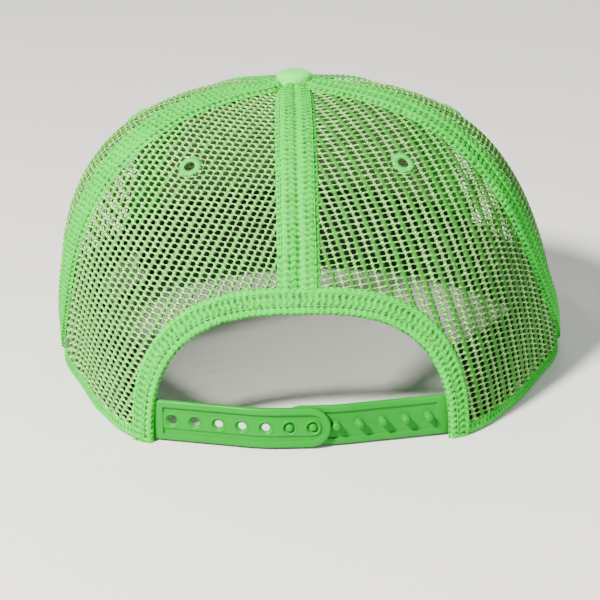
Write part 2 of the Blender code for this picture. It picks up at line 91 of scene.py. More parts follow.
# How the knit lies on each panel: the wale and course number of a flat point, as quadratics of
# its distances from the panel's middle line and from a line 70 mm above the rim, in 50 mm units.
DRAPE_UNIT, DRAPE_MIDDLE = 50 * MM, 70 * MM
REAR_DRAPES = {
    1: ((13.96, 3.58, -1.33, 1.61, -1.86), (3.86, 23.63, 3.63, 0.20, -1.69)),
    -1: ((13.67, -0.37, 1.23, 0.82, 0.79), (-2.80, 21.68, 3.34, -0.84, -0.82)),
}
SIDE_DRAPE = ((13.8, 0.9, 0.0, 0.0, 0.0), (1.5, 22.2, 0.0, 0.0, 0.0))

# Eyelets: their azimuths and climbs; the middle and half width of a ring; how far the knit opens
# round one, over what radius, and the reach over which it is drawn onto the eyelet; and the
# radius cleared of cloth under a ring.
EYELETS = {"rear": (39.5, 0.585), "side": (103.0, 0.585), "front": (157.0, 0.585)}
EYELET_MIDDLE, EYELET_HALF = 3.15 * MM, 0.95 * MM
EYELET_OPEN, EYELET_SPREAD, EYELET_PULL = 2.3 * MM, 6.5 * MM, 8.0 * MM
EYELET_HOLE = 2.6 * MM

# Snap strap, as in the CAD model: its heights, its line in plan and its sewn end.
STRAP_LOW, STRAP_HIGH = 0.8 * MM, 16.4 * MM
STRAP_MIDDLE = (STRAP_LOW + STRAP_HIGH) / 2
STRAP_FLAT, STRAP_BEND, STRAP_LINE_Y, STRAP_END = 8 * MM, 45 * MM, 96.35 * MM, 61 * MM
SLOPES = {"female": 15.0, "male": 11.7}
SNAP_PITCH, SNAP_COUNT, SNAP_HOLE = 8.6 * MM, 7, 2.70 * MM
SNAP_PLACES = [-SNAP_PITCH / 2 + index * SNAP_PITCH for index in range(SNAP_COUNT)]
GAP = 0.3 * MM

# Its mouldings: the rim round the recess and where that ends, the half height of the raised
# field round the holes and where that ends, and where the moving bar gives way to the sewn end.
STRAP_RIM, RECESS_END = 2.1 * MM, 51.2 * MM
FIELD_HALF, FIELD_END = 3.15 * MM, 51.6 * MM
BLEND_START, BLEND_END = 54.0 * MM, 49.6 * MM

# Sections of a peg and of a hole's rim, in millimetres: radius, height.
PEG = (
    *((1.80, -0.1), (1.60, 0.12), (1.52, 0.5), (1.46, 2.2), (1.38, 2.55), (1.15, 2.82)),
    *((0.75, 2.97), (0.2, 3.02)),
)
DISH = (
    *((2.76, 0.03), (1.66, 0.03), (1.50, 0.18), (1.46, 0.55), (1.56, 0.74), (1.90, 1.02), (2.22, 1.36)),
    *((2.40, 1.62), (2.54, 1.73), (2.70, 1.74), (2.84, 1.68), (2.94, 1.52), (2.76, 1.30), (2.76, 0.03)),
)

# Front cloth: how much of it is turned under at its seam, and how far it stands proud.
FRONT_TURNED, FRONT_PROUD = 1.6 * MM, 0.55 * MM

# Folded knit of the bands, hem and binding: its steps, and the spacing of its modelled points.
FOLD_WALE, FOLD_COURSE, FOLD_STEP = 3.3 * MM, 2.3 * MM, 0.36 * MM
BAND_WIDTH, BAND_TAPE = 15.8 * MM, 11 * MM

# Brim: the azimuth where its root starts; its half width, its front, its corner, and the power of
# its outline; where its outline starts, its thickness with both covers, and the shares of a cover
# and of its plan that lie flat before the edge turns over; the insets of its stitch rows.
BRIM_AZIMUTH = 117.2
BRIM_HALF_WIDTH, BRIM_FRONT, BRIM_CORNER, BRIM_POWER = 90 * MM, -161 * MM, -48.5 * MM, 2.35
BRIM_TIP, BRIM_THICKNESS, BRIM_FLAT, BRIM_TURN = -47.2 * MM, 3.8 * MM, 0.92, 0.985
BRIM_ROWS = np.array((2.2, 7.0, 13.0, 19.0, 25.0, 31.0, 37.0)) * MM

# Camera: degrees above the floor, off the centre back and of roll; distance; focal length and
# centre of the picture in pixels of 600.
ELEVATION, TURN, ROLL, DISTANCE = 19.0, 0.5, 0.8, 0.95
PICTURE, FOCAL, CENTRE_X, CENTRE_Y = 600, 2376.6, 297.1, 234.4
AIM_HEIGHT = 0.05


# ---------------------------------------------------------------- crown surface
def ease(value):
    """Smooth step from 0 to 1."""
    t = np.clip(value, 0.0, 1.0)
    return t * t * (3 - 2 * t)


def folded(azimuth):
    """Degrees from the centre back, on either side."""
    return np.abs((np.asarray(azimuth, float) + 180.0) % 360.0 - 180.0)


def rim_radius(azimuth):
    """The rim's plan, a smooth curve through RIM_PLAN."""
    turned = folded(azimuth)
    at = np.concatenate([[-RIM_PLAN[1, 0]], RIM_PLAN[:, 0], [360 - RIM_PLAN[-2, 0]]])
    size = np.concatenate([[RIM_PLAN[1, 1]], RIM_PLAN[:, 1], [RIM_PLAN[-2, 1]]]) * MM
    index = np.clip(np.searchsorted(at, turned, side="left") - 1, 1, len(at) - 3)
    span = at[index + 1] - at[index]
    t = (turned - at[index]) / span
    start = (size[index + 1] - size[index - 1]) / (at[index + 1] - at[index - 1]) * span
    end = (size[index + 2] - size[index]) / (at[index + 2] - at[index]) * span
    return (
        (2 * t**3 - 3 * t**2 + 1) * size[index]
        + (t**3 - 2 * t**2 + t) * start
        + (3 * t**2 - 2 * t**3) * size[index + 1]
        + (t**3 - t**2) * end
    )


def rim_height(azimuth):
    """The rim rises towards the brim."""
    return 10 * MM * ease((folded(azimuth) - 95.0) / 85.0)


def section_power(azimuth):
    """How square the crown's upright section is: more at the sides."""
    turn = np.radians(azimuth)
    back = np.maximum(np.cos(turn), 0.0) ** 1.5
    front = np.maximum(-np.cos(turn), 0.0)
    return 2.85 + (2.2 - 2.85) * back + (2.0 - 2.85) * front


def crown_outer(azimuth, climb):
    """Points on the crown's outer face."""
    azimuth, climb = np.broadcast_arrays(np.asarray(azimuth, float), np.asarray(climb, float))
    power = section_power(azimuth)
    across = np.maximum(np.cos(climb * pi / 2), 1e-9)
    up = np.sin(climb * pi / 2)
    size = (across**power + np.abs(up) ** power) ** (-1 / power)
    across, up = across * size, up * size
    radius = rim_radius(azimuth)
    radius = radius + (TOP_RADIUS - radius) * ease(up / 0.85)
    low = rim_height(azimuth)
    side = np.sin(np.radians(azimuth))
    x = radius * across * side - 5.5 * MM * np.exp(-((up / 0.45) ** 2)) * np.abs(side) ** 3
    y = radius * across * np.cos(np.radians(azimuth))
    return np.stack([x, y, low + (CROWN_HEIGHT - low) * up], -1)


def crown_frame(azimuth, climb):
    """Points on the outer face, and the outward normals there."""
    azimuth, climb = np.broadcast_arrays(np.asarray(azimuth, float), np.asarray(climb, float))
    low = np.maximum(climb - 0.004, 0.0)
    along = crown_outer(azimuth + 0.4, climb) - crown_outer(azimuth - 0.4, climb)
    rise = crown_outer(azimuth, low + 0.008) - crown_outer(azimuth, low)
    normal = np.cross(rise, along)
    normal /= np.linalg.norm(normal, axis=-1, keepdims=True)
    return crown_outer(azimuth, climb), normal


def crown_point(azimuth, climb, depth=0.0):
    """Points at a depth under the outer face."""
    point, normal = crown_frame(azimuth, climb)
    return point - normal * np.asarray(depth, float)[..., None]


def climb_at(azimuth, height):
    """The climb at which the outer face reaches a height."""
    power = section_power(azimuth)
    low = rim_height(azimuth)
    up = np.clip((height - low) / (CROWN_HEIGHT - low), 0.0, 1.0)
    return np.arctan2(up, (1 - up**power) ** (1 / power)) / (pi / 2)


def back_point(x, height, depth):
    """Point at a depth under the back of the crown, over a given x and height."""
    x, height, depth = np.broadcast_arrays(*(np.asarray(v, float) for v in (x, height, depth)))
    low, high = np.full(x.shape, -80.0), np.full(x.shape, 80.0)
    for _ in range(26):
        middle = (low + high) / 2
        less = crown_outer(middle, climb_at(middle, height))[..., 0] < x
        low, high = np.where(less, middle, low), np.where(less, high, middle)
    point, normal = crown_frame(low, climb_at(low, height))
    point = point.copy()
    point[..., 2] += np.minimum(height, 0.0)
    return point - normal * depth[..., None]


def rear_seam(climb):
    """Azimuth of the seam between the rear and side panels."""
    return REAR_SEAM_TOP + REAR_SEAM_FLARE * (1 - np.sin(np.asarray(climb) * pi / 2)) ** 3


def arch_inside(x, z, grow):
    """True inside the arch's outline grown by a margin."""
    wide = np.abs(x) / (ARCH_HALF_WIDTH + grow)
    tall = np.maximum(z, 0.0) / (ARCH_HEIGHT + grow)
    return wide**ARCH_POWER + tall**ARCH_POWER < 1


def girth(azimuth, climb):
    """Distance of the crown's outer face from its upright axis."""
    return np.linalg.norm(crown_outer(azimuth, climb)[..., :2], axis=-1)


def distances(line):
    """Distance along a line of points, at each of them."""
    return np.concatenate([[0], np.cumsum(np.linalg.norm(np.diff(line, axis=0), axis=1))])


def across_seam(width, azimuth, climb, limit):
    """Half a width as an azimuth, held under a limit near the top."""
    return np.minimum(np.degrees(np.arctan2(width / 2, girth(azimuth, climb))), limit)


# The looks that stand for each of the record's material slots.
SLOTS = {
    "green_mesh": ("mesh_yarn_left", "mesh_yarn_side", "mesh_yarn_right", "folded_mesh_yarn"),
    "green_cloth": ("green_twill", "button_cloth", "green_tape", "green_thread"),
    "white_cloth": ("front_lining", "white_tape", "white_thread"),
    "black_cloth": ("black_sweatband",),
    "green_plastic": ("strap_plastic",),
}
SLOT_OF = {look: slot for slot, looks in SLOTS.items() for look in looks}


# ---------------------------------------------------------------- objects
def show(name, points, faces, look, body="cap", replaces=(), pattern=None):
    """Makes one piece from points and faces, in crown coordinates, and rides it.

    A piece with a CAD node's name replaces that node, unless other nodes are given.
    """
    mesh = bpy.data.meshes.new(name)
    points = np.asarray(points, float).reshape(-1, 3) + AXIS
    mesh.from_pydata(points.tolist(), [], [list(map(int, face)) for face in faces])
    mesh.validate()
    stands_in = name in frame["nodes"]
    obj = bpy.data.objects.new(name + "_made" if stands_in else name, mesh)
    bpy.context.scene.collection.objects.link(obj)
    if pattern is not None:
        layer = mesh.attributes.new("pattern", "FLOAT_VECTOR", "POINT")
        layer.data.foreach_set("vector", np.asarray(pattern, np.float32).ravel())
    mesh.materials.append(look)
    mesh.shade_smooth()
    if body:
        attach(obj, body)
    if replaces or stands_in:
        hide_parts(*(replaces or (name,)))
    return obj


def grid_faces(columns, rows, start=0):
    """Quads of a grid of (columns + 1) by (rows + 1) points, numbered along its rows."""
    across, up = np.meshgrid(np.arange(columns), np.arange(rows), indexing="ij")
    first = start + across * (rows + 1) + up
    quads = np.stack([first, first + rows + 1, first + rows + 2, first + 1], -1)
    return quads.reshape(-1, 4)


def cloth(name, place, columns, rows, look, thickness=0.0, size=(1, 1)):
    """A sheet laid by place(u, v) and, if thick, closed by a second face under it."""
    u, v = np.meshgrid(np.linspace(0, 1, columns + 1), np.linspace(0, 1, rows + 1), indexing="ij")
    u, v = u.ravel(), v.ravel()
    pattern = np.stack([u * size[0], v * size[1], np.zeros_like(u)], -1)
    top = place(u, v, 0.0)
    faces = grid_faces(columns, rows)
    if not thickness:
        return show(name, top, faces, look, pattern=pattern)
    under = place(u, v, thickness)
    count = len(top)
    edge = np.concatenate(
        [
            np.arange(0, rows),
            np.arange(0, columns) * (rows + 1) + rows,
            (np.arange(rows, 0, -1) + columns * (rows + 1)),
            np.arange(columns, 0, -1) * (rows + 1),
        ]
    )
    following = np.roll(edge, -1)
    rim = np.stack([edge, following, following + count, edge + count], -1)
    points = np.concatenate([top, under])
    both = np.concatenate([faces, faces[:, ::-1] + count, rim[:, ::-1]])
    return show(name, points, both, look, pattern=np.tile(pattern, (2, 1)))


@contextmanager
def edited(mesh):
    """A mesh as a bmesh, written back to it at the end."""
    bm = bmesh.new()
    bm.from_mesh(mesh)
    yield bm
    bm.to_mesh(mesh)
    bm.free()


def tubes(paths, radii, sides=6):
    """Points and faces of closed round-ended tubes along rows of path points (count, steps, 3)."""
    paths = np.asarray(paths, float)
    count, steps, _ = paths.shape
    radii = np.broadcast_to(np.asarray(radii, float), (count, steps))
    along = np.gradient(paths, axis=1)
    along /= np.linalg.norm(along, axis=-1, keepdims=True) + 1e-12
    aside = np.where(np.abs(along[..., 2:]) > 0.9, (1.0, 0.0, 0.0), (0.0, 0.0, 1.0))
    one = np.cross(along, aside)
    one /= np.linalg.norm(one, axis=-1, keepdims=True) + 1e-12
    two = np.cross(along, one)
    turn = (np.arange(sides) * 2 * pi / sides)[:, None]
    ring = one[:, :, None] * np.cos(turn) + two[:, :, None] * np.sin(turn)
    points = (paths[:, :, None] + ring * radii[:, :, None, None]).reshape(-1, 3)
    first = np.arange(count)[:, None, None] * steps * sides
    step = np.arange(steps - 1)[None, :, None] * sides
    side = np.arange(sides)[None, None, :]
    a = first + step + side
    b = first + step + (side + 1) % sides
    quads = np.stack(np.broadcast_arrays(a, b, b + sides, a + sides), -1).reshape(-1, 4)
    return points, quads


def row_on(place, first, second, lift, up=MM):
    """A stitch row's points on a laid face, and the face's normals there."""
    points = place(first, second, lift)
    return points, (place(first, second, lift + up) - points) / MM


def stitches(name, lines, look, pitch=3.2 * MM, thread=0.24 * MM):
    """Rows of lock stitches: each line is (points, normals) along the cloth's face."""
    steps = np.linspace(-0.5, 0.5, 7)
    paths = []
    for points, normals in lines:
        run = distances(points)
        count = max(int(run[-1] / pitch), 1)
        at = (np.arange(count) + 0.5) * run[-1] / count
        where = at[:, None] + steps[None, :] * pitch * 0.84
        point = np.stack([np.interp(where, run, points[:, k]) for k in range(3)], -1)
        normal = np.stack([np.interp(where, run, normals[:, k]) for k in range(3)], -1)
        lift = thread * (1.1 - 9.0 * np.abs(steps) ** 3.2 * 2.2)
        paths.append(point + normal * lift[None, :, None])
    paths = np.concatenate(paths)
    width = thread * (1 - 0.35 * np.abs(steps * 2) ** 3)
    show(name, *tubes(paths, width[None, :]), look)


# ---------------------------------------------------------------- knitted mesh
# The border of a hole's cell, in quarters of a wale and a course from the hole.
SIDE = (-2, -1, 0, 1)
BORDER = np.array(
    [(k, -2) for k in SIDE] + [(2, k) for k in SIDE] + [(-k, 2) for k in SIDE] + [(-2, -k) for k in SIDE]
)


def raised(wale, course, slant):
    """Height, 0 to 1, of the yarn between holes: high in each link, low in every other bar."""
    course = course - slant * (wale - np.round(wale))
    across = np.abs(np.sin(wale * pi))
    bar = np.where(np.sin(wale * pi) > 0, 0.0, 0.22)
    link = 1 - 0.35 * across
    level = np.abs(course - np.round(course))
    ridge = np.exp(-(((level - 0.5) / 0.20) ** 2))
    return bar * across**2 * (1 - ridge) + link * ridge * (1 - across**4 * (0.8 - bar))


def knit(name, place, index, flat, look, slant):
    """A knitted mesh with one round hole for each lattice number (wale, course) in index.

    flat(lattice) gives flat x and y, and place(x, y, lift) puts those on the cap. slant is
    how many courses a link climbs on its way from one bar to the next.
    """
    number, count = len(index), len(BORDER)
    keys = index[:, None, :] * 4 + BORDER[None]
    shared, inverse = np.unique(keys.reshape(-1, 2), axis=0, return_inverse=True)
    inverse = inverse.reshape(number, count)
    rng = np.random.default_rng(7)
    border_at = shared / 4
    border_flat = flat(border_at)
    shift = 0.03 * rng.standard_normal((number, 2))
    shift[:, 0] += np.where(index[:, 0] % 2, 0.055, -0.055)
    centre = flat(index + shift)
    spokes = border_flat[inverse] - centre[:, None]
    reach = np.linalg.norm(spokes, axis=-1, keepdims=True)
    turn = np.arctan2(spokes[..., 1], spokes[..., 0])
    lobes = 1 + 0.07 * np.cos(3 * turn + rng.uniform(0, 2 * pi, (number, 1)))
    lobes = lobes * (1 + 0.06 * rng.standard_normal((number, 1)))
    oval = 1 / np.hypot(np.cos(turn) / HOLE[0], np.sin(turn) / HOLE[1])
    radius = np.minimum((oval * lobes)[..., None], reach * 0.86)
    rim_flat = centre[:, None] + spokes / reach * radius
    inner_flat = centre[:, None] + spokes / reach * (radius * 0.45 + reach * 0.55)
    inner_at = index[:, None] + BORDER[None] / 4 * 0.72
    high, inner_high = raised(*border_at.T, slant), raised(inner_at[..., 0], inner_at[..., 1], slant)

    def laid(points, lift, lattice_at, shine):
        points, lattice_at = points.reshape(-1, 2), lattice_at.reshape(-1, 2)
        pattern = np.concatenate([lattice_at, np.reshape(shine, (-1, 1))], 1)
        return place(points[:, 0], points[:, 1], np.reshape(lift, -1)), pattern

    half = KNIT_THICKNESS / 2
    edge_at = index[:, None] + BORDER[None] / 4 * 0.5
    # The last pattern value paints the yarn in its look: raised links lighter, the under face and the hole
    # rims darker, as painted highlight and painted shade.
    rings = [
        laid(border_flat, half + RIDGE * high, border_at, high),
        laid(border_flat, 0 * high - half, border_at, 0.6 * high),
        laid(inner_flat, half * 0.85 + RIDGE * 0.8 * inner_high, inner_at, inner_high),
        laid(rim_flat, np.full(rim_flat.shape[:2], -0.05 * MM), edge_at, 0.25 * inner_high),
    ]
    points, pattern = (np.concatenate(part) for part in zip(*rings))
    following = np.roll(np.arange(count), -1)
    own = np.arange(number)[:, None] * count + np.arange(count)[None]
    own_next = np.arange(number)[:, None] * count + following[None]
    inner_start = 2 * len(shared)
    edge_start = inner_start + number * count
    a, b = inverse, inverse[:, following]
    m, n = inner_start + own, inner_start + own_next
    e, f = edge_start + own, edge_start + own_next
    quads = ((a, b, n, m), (m, n, f, e), (e, f, b + len(shared), a + len(shared)))
    faces = np.concatenate([np.stack(quad, -1).reshape(-1, 4) for quad in quads])
    start, end = a.ravel(), b.ravel()
    edge = ~np.isin(start * len(shared) + end, end * len(shared) + start)
    start, end = start[edge], end[edge]
    walls = np.stack([end, start, start + len(shared), end + len(shared)], -1)
    show(name, points, np.concatenate([faces, walls]), look, pattern=pattern)


class Drape:
    """Lattice of the knit on a panel: quadratics of flat x and y give the wale and the course."""

    def __init__(self, wale, course):
        self.terms = np.array((wale, course))

    def lattice(self, x, y):
        """Wale and course numbers of flat points."""
        across, up = x / DRAPE_UNIT, (y - DRAPE_MIDDLE) / DRAPE_UNIT
        basis = np.stack([across, up, across**2, across * up, up**2], -1)
        return basis @ self.terms.T

    def slope(self, x, y):
        """How fast the wale and course numbers change along x and along y."""
        across, up = x / DRAPE_UNIT, (y - DRAPE_MIDDLE) / DRAPE_UNIT
        zero, one = 0 * x, 0 * x + 1
        along_x = np.stack([one, zero, 2 * across, up, zero], -1) @ self.terms.T
        along_y = np.stack([zero, one, zero, across, 2 * up], -1) @ self.terms.T
        return along_x / DRAPE_UNIT, along_y / DRAPE_UNIT

    def flat(self, lattice):
        """Flat points of lattice numbers, by Newton's method from the straight lattice."""
        linear = np.linalg.inv(self.terms[:, :2])
        start = lattice @ linear.T * DRAPE_UNIT
        x, y = start[:, 0], start[:, 1] + DRAPE_MIDDLE
        for _ in range(25):
            miss = self.lattice(x, y) - lattice
            along_x, along_y = self.slope(x, y)
            size = along_x[:, 0] * along_y[:, 1] - along_x[:, 1] * along_y[:, 0]
            size = np.where(np.abs(size) < 1e4, 1e4, size)
            x = x - np.clip((miss[:, 0] * along_y[:, 1] - miss[:, 1] * along_y[:, 0]) / size, -0.02, 0.02)
            y = y - np.clip((along_x[:, 0] * miss[:, 1] - along_x[:, 1] * miss[:, 0]) / size, -0.02, 0.02)
        return np.stack([x, y], -1)


class Panel:
    """A crown panel's flat cut: x along the courses from its middle line, y up that line."""

    def __init__(self, sign, start, end):
        self.sign = sign
        self.start, self.end = start, end
        self.climbs = np.linspace(0.0, 0.985, 160)
        self.middle = (start(0.35) + end(0.35)) / 2
        self.up = distances(crown_outer(self.middle, self.climbs))
        low, high = self.start(self.climbs), self.end(self.climbs)
        share = np.linspace(0, 1, 25)
        turns = low[:, None] + (high - low)[:, None] * share[None]
        arc = crown_outer(turns, self.climbs[:, None])
        length = np.linalg.norm(np.diff(arc, axis=1), axis=2).sum(1)
        self.per_degree = length / (high - low)

    def polar(self, x, y):
        """Azimuth from the centre back, and climb, of flat points."""
        climb = np.interp(y, self.up, self.climbs)
        turn = self.middle + self.sign * x / np.interp(climb, self.climbs, self.per_degree)
        return turn, climb

    def flat(self, turn, climb):
        """The flat point at an azimuth and climb."""
        per_degree, up = (np.interp(climb, self.climbs, known) for known in (self.per_degree, self.up))
        return np.array((self.sign * (turn - self.middle) * per_degree, up))

    def inside(self, x, y, margin):
        """True where flat points lie a margin inside both seams."""
        turn, climb = self.polar(x, y)
        room = margin / np.interp(climb, self.climbs, self.per_degree)
        return (turn > self.start(climb) + room) & (turn < self.end(climb) - room)

    def place(self, x, y, lift):
        """Points on the cap, lifted from the cloth's middle."""
        turn, climb = self.polar(x, y)
        return crown_point(self.sign * turn, climb, KNIT_DEPTH - lift)


def mesh_panel(name, panel, drape, eyelet, look, opening=False):
    """One knitted panel, cut away under the binding and opened out round its eyelet."""
    eye = panel.flat(*eyelet)
    hole = np.round(drape.lattice(*eye))
    pull = eye - drape.flat(hole[None])[0]

    def flat(at):
        """The lattice with its nearest hole drawn onto the eyelet and opened out to its ring."""
        points = drape.flat(np.asarray(at, float))
        near = np.exp(-((np.linalg.norm(points - eye, axis=-1, keepdims=True) / EYELET_PULL) ** 2))
        points = points + pull * near
        away = points - eye
        reach = np.linalg.norm(away, axis=-1, keepdims=True)
        spread = np.where(reach < EYELET_SPREAD, EYELET_OPEN * (1 - reach / EYELET_SPREAD), 0.0)
        return points + away / np.maximum(reach, 1e-6) * spread

    wale, course = np.meshgrid(np.arange(-32, 33), np.arange(-60, 61), indexing="ij")
    index = np.stack([wale.ravel(), course.ravel()], -1)
    at = drape.flat(index.astype(float))
    x, y = at.T
    good = np.abs(drape.lattice(x, y) - index).max(-1) < 0.01
    good &= (y > 1.2 * MM) & (y < np.interp(0.958, panel.climbs, panel.up)) & (np.abs(x) < 0.09)
    good &= panel.inside(x, y, 1.7 * MM) & (np.abs(index - hole).max(-1) > 0)
    if opening:
        turn, climb = panel.polar(x, y)
        point = crown_outer(panel.sign * turn, climb)
        good &= ~arch_inside(point[:, 0], point[:, 2], 4.6 * MM)
    knit(name, panel.place, index[good], flat, *look)


# ---------------------------------------------------------------- materials
class Look:
    """A procedural material: a Principled shader, with short names for the nodes that feed it."""

    def __init__(self, name, roughness=0.8, **constants):
        self.material = bpy.data.materials.new(name)
        self.material.use_nodes = True
        self.tree = self.material.node_tree
        self.shader = self.tree.nodes["Principled BSDF"]
        self.shader.inputs["Roughness"].default_value = roughness
        for socket, value in constants.items():
            self.shader.inputs[socket.replace("_", " ")].default_value = value

    def node(self, kind, inputs=None, **settings):
        made = self.tree.nodes.new("ShaderNode" + kind)
        for key, value in settings.items():
            setattr(made, key, value)
        for key, value in (inputs or {}).items():
            self.give(made.inputs[key], value)
        return made

    def give(self, socket, value):
        if isinstance(value, bpy.types.NodeSocket):
            self.tree.links.new(value, socket)
        elif isinstance(value, (tuple, list)) and socket.type == "RGBA":
            socket.default_value = (*value[:3], 1.0)
        else:
            socket.default_value = value

    def math(self, operation, one, two=0.5):
        return self.node("Math", {0: one, 1: two}, operation=operation).outputs[0]

    def add(self, total, *more):
        for value in more:
            total = self.math("ADD", total, value)
        return total

    def times(self, one, two):
        return self.math("MULTIPLY", one, two)

    def sine(self, value):
        return self.math("SINE", value)

    def place(self):
        return self.node("TexCoord").outputs["Object"]

    def pattern(self):
        return self.node("Attribute", attribute_name="pattern").outputs["Vector"]

    def axes(self, vector):
        split = self.node("SeparateXYZ", {0: vector})
        return split.outputs[0], split.outputs[1], split.outputs[2]

    def noise(self, scale, detail=3.0):
        inputs = {"Vector": self.place(), "Scale": scale, "Detail": detail, "Roughness": 0.55}
        return self.node("TexNoise", inputs).outputs["Fac"]

    def ramp(self, value, low, high, start=0.0, end=1.0):
        inputs = {0: value, 1: start, 2: end, 3: low, 4: high}
        return self.node("MapRange", inputs).outputs[0]

    def mix(self, share, one, two):
        return self.node("Mix", {0: share, 6: one, 7: two}, data_type="RGBA").outputs[2]

    def bump(self, height, distance, strength=1.0, under=None):
        inputs = {"Height": height, "Distance": distance, "Strength": strength}
        if under is not None:
            inputs["Normal"] = under
        return self.node("Bump", inputs).outputs[0]

    def finish(self, colour, roughness=None, normal=None):
        given = {"Base Color": colour, "Roughness": roughness, "Normal": normal}
        for socket, value in given.items():
            if value is not None:
                self.give(self.shader.inputs[socket], value)
        return self.material


def yarn_look(name, slant, threads):
    """Knitted polyester: pale links between holes, smooth bars, and bars of crossing threads.

    The pale tone of the links and paired threads is painted highlight on the raised yarn, the dark
    tone of the low bars is painted shade, and the yarn's height is painted as shade as well.
    slant is how many courses a link climbs, and threads how plainly the painted highlight of a
    link crosses a smooth bar and lies on its paired threads.
    """
    # The yarn's own green (middle), between painted shade and a pale painted highlight (light).
    painted_shade, middle, light = (0.010, 0.10, 0.007), (0.042, 0.23, 0.020), (0.30, 0.67, 0.17)
    look = Look(name, 0.7, Specular_IOR_Level=0.2)
    wale, course, high = look.axes(look.pattern())
    lean = look.math("SUBTRACT", wale, look.math("ROUND", wale))
    course = look.math("SUBTRACT", course, look.times(lean, slant))
    fine = look.noise(1100.0)
    soft = look.noise(45.0)
    wander = look.ramp(look.noise(330.0, 2.0), -0.22, 0.22, 0.3, 0.7)
    wave = look.sine(look.times(wale, pi))
    smooth_bar = look.math("MAXIMUM", wave, 0.0)
    thread_bar = look.math("MAXIMUM", look.times(wave, -1.0), 0.0)
    fold = look.math("PINGPONG", look.add(course, look.times(wander, 0.6)), 0.5)
    crossing = look.ramp(smooth_bar, 1.0, threads, 0.35, 0.95)
    link = look.times(look.ramp(fold, 0.0, 1.0, 0.28, 0.45), crossing)
    off_pair = look.math("ABSOLUTE", look.math("SUBTRACT", wave, 0.955))
    pair = look.math("MAXIMUM", look.math("SUBTRACT", 1.0, look.times(off_pair, 25.0)), 0.0)
    turns = look.add(look.times(course, 4 * pi), look.times(wale, 5 * pi), look.times(wander, 9.0))
    lines = look.times(look.ramp(look.sine(turns), 0.0, 1.0, -0.1, 0.8), thread_bar)
    # Painted highlight on the links and paired threads, painted shade where the yarn lies low, and random
    # fibre tone.
    share = look.add(
        look.times(link, 0.72),
        look.times(lines, 0.50),
        look.times(pair, threads),
        look.ramp(high, 0.0, 0.16, 0.05, 0.85),
        look.ramp(fine, -0.02, 0.30, 0.3, 0.7),
    )
    colour = look.mix(look.ramp(share, 0.0, 1.0, 0.0, 0.35), painted_shade, middle)
    colour = look.mix(look.ramp(share, 0.0, 1.0, 0.30, 0.92), colour, light)
    colour = look.mix(look.ramp(soft, 0.0, 0.25, 0.45, 0.8), colour, middle)
    normal = look.bump(look.add(link, lines), 0.12 * MM, 0.8, look.bump(fine, 0.10 * MM, 0.7))
    return look.finish(colour, look.ramp(fine, 0.55, 0.85, 0.3, 0.7), normal)


def folded_look(name, painted_shade, middle, light):
    """Mesh folded double into a band: its height shades it, over fine filaments."""
    look = Look(name, 0.75, Specular_IOR_Level=0.2)
    across, along, high = look.axes(look.pattern())
    fine = look.noise(1000.0)
    soft = look.noise(70.0)
    strands = look.sine(look.add(look.times(along, 7000.0), look.times(across, 2600.0)))
    share = look.add(high, look.ramp(fine, -0.28, 0.28, 0.3, 0.7), look.times(strands, 0.07))
    colour = look.mix(look.ramp(share, 0.0, 1.0, 0.05, 0.45), painted_shade, middle)
    colour = look.mix(look.ramp(share, 0.0, 1.0, 0.4, 1.0), colour, light)
    colour = look.mix(look.ramp(soft, 0.0, 0.4, 0.4, 0.75), colour, light)
    normal = look.bump(strands, 0.06 * MM, 0.5, look.bump(fine, 0.14 * MM, 0.8))
    return look.finish(colour, look.ramp(fine, 0.6, 0.9, 0.3, 0.7), normal)


def woven_look(name, colour, shade, pitch, depth, twill=False):
    """Woven cloth in the pattern's metres: plain weave, or a twill's diagonal ribs."""
    look = Look(name, Sheen_Weight=0.05, Specular_IOR_Level=0.25)
    x, y, _ = look.axes(look.pattern())
    turns = 2 * pi / pitch
    warp, weft = (look.sine(look.times(axis, turns)) for axis in (x, y))
    weave = look.times(warp, weft)
    if twill:
        weave = look.add(look.sine(look.times(look.add(x, y), turns * 0.5)), look.times(warp, 0.4))
    soft = look.noise(35.0, 4.0)
    fine = look.noise(1400.0, 2.0)
    share = look.add(look.ramp(weave, 0.0, 0.45, -1.0, 1.0), look.ramp(soft, 0.0, 0.25, 0.3, 0.7))
    tone = look.mix(look.math("MINIMUM", share, 1.0), shade, colour)
    normal = look.bump(weave, depth, 0.7, look.bump(soft, 0.6 * MM, 0.25))
    return look.finish(tone, look.ramp(fine, 0.7, 0.95, 0.3, 0.7), normal)


def plastic_look(name, colour, shade):
    """Moulded satin plastic, with slight flow marks and fine scratches."""
    look = Look(name, 0.35, Specular_IOR_Level=0.16)
    soft = look.noise(22.0)
    fine = look.noise(420.0, 4.0)
    tone = look.mix(look.ramp(soft, 0.0, 1.0, 0.3, 0.75), shade, colour)
    normal = look.bump(fine, 0.02 * MM, 0.35, look.bump(soft, 0.3 * MM, 0.2))
    return look.finish(tone, look.ramp(fine, 0.30, 0.44, 0.3, 0.7), normal)


def thread_look(name, colour, shade):
    """Spun thread with fine strands and slow changes of tone."""
    look = Look(name, 0.6, Specular_IOR_Level=0.3)
    fine = look.noise(1800.0, 2.0)
    wide = look.noise(90.0, 2.0)
    share = look.times(look.ramp(fine, 0.0, 1.0, 0.25, 0.75), look.ramp(wide, 0.6, 1.2, 0.2, 0.8))
    tone = look.mix(share, shade, colour)
    return look.finish(tone, look.ramp(fine, 0.5, 0.8, 0.3, 0.7), look.bump(fine, 0.05 * MM, 0.6))


def metal_look(name):
    """Brushed metal."""
    look = Look(name, 0.3, Metallic=1.0)
    fine = look.noise(300.0, 4.0)
    tone = look.mix(fine, (0.42, 0.43, 0.42), (0.72, 0.72, 0.70))
    return look.finish(tone, look.ramp(fine, 0.22, 0.45, 0.3, 0.7), look.bump(fine, 0.02 * MM, 0.4))


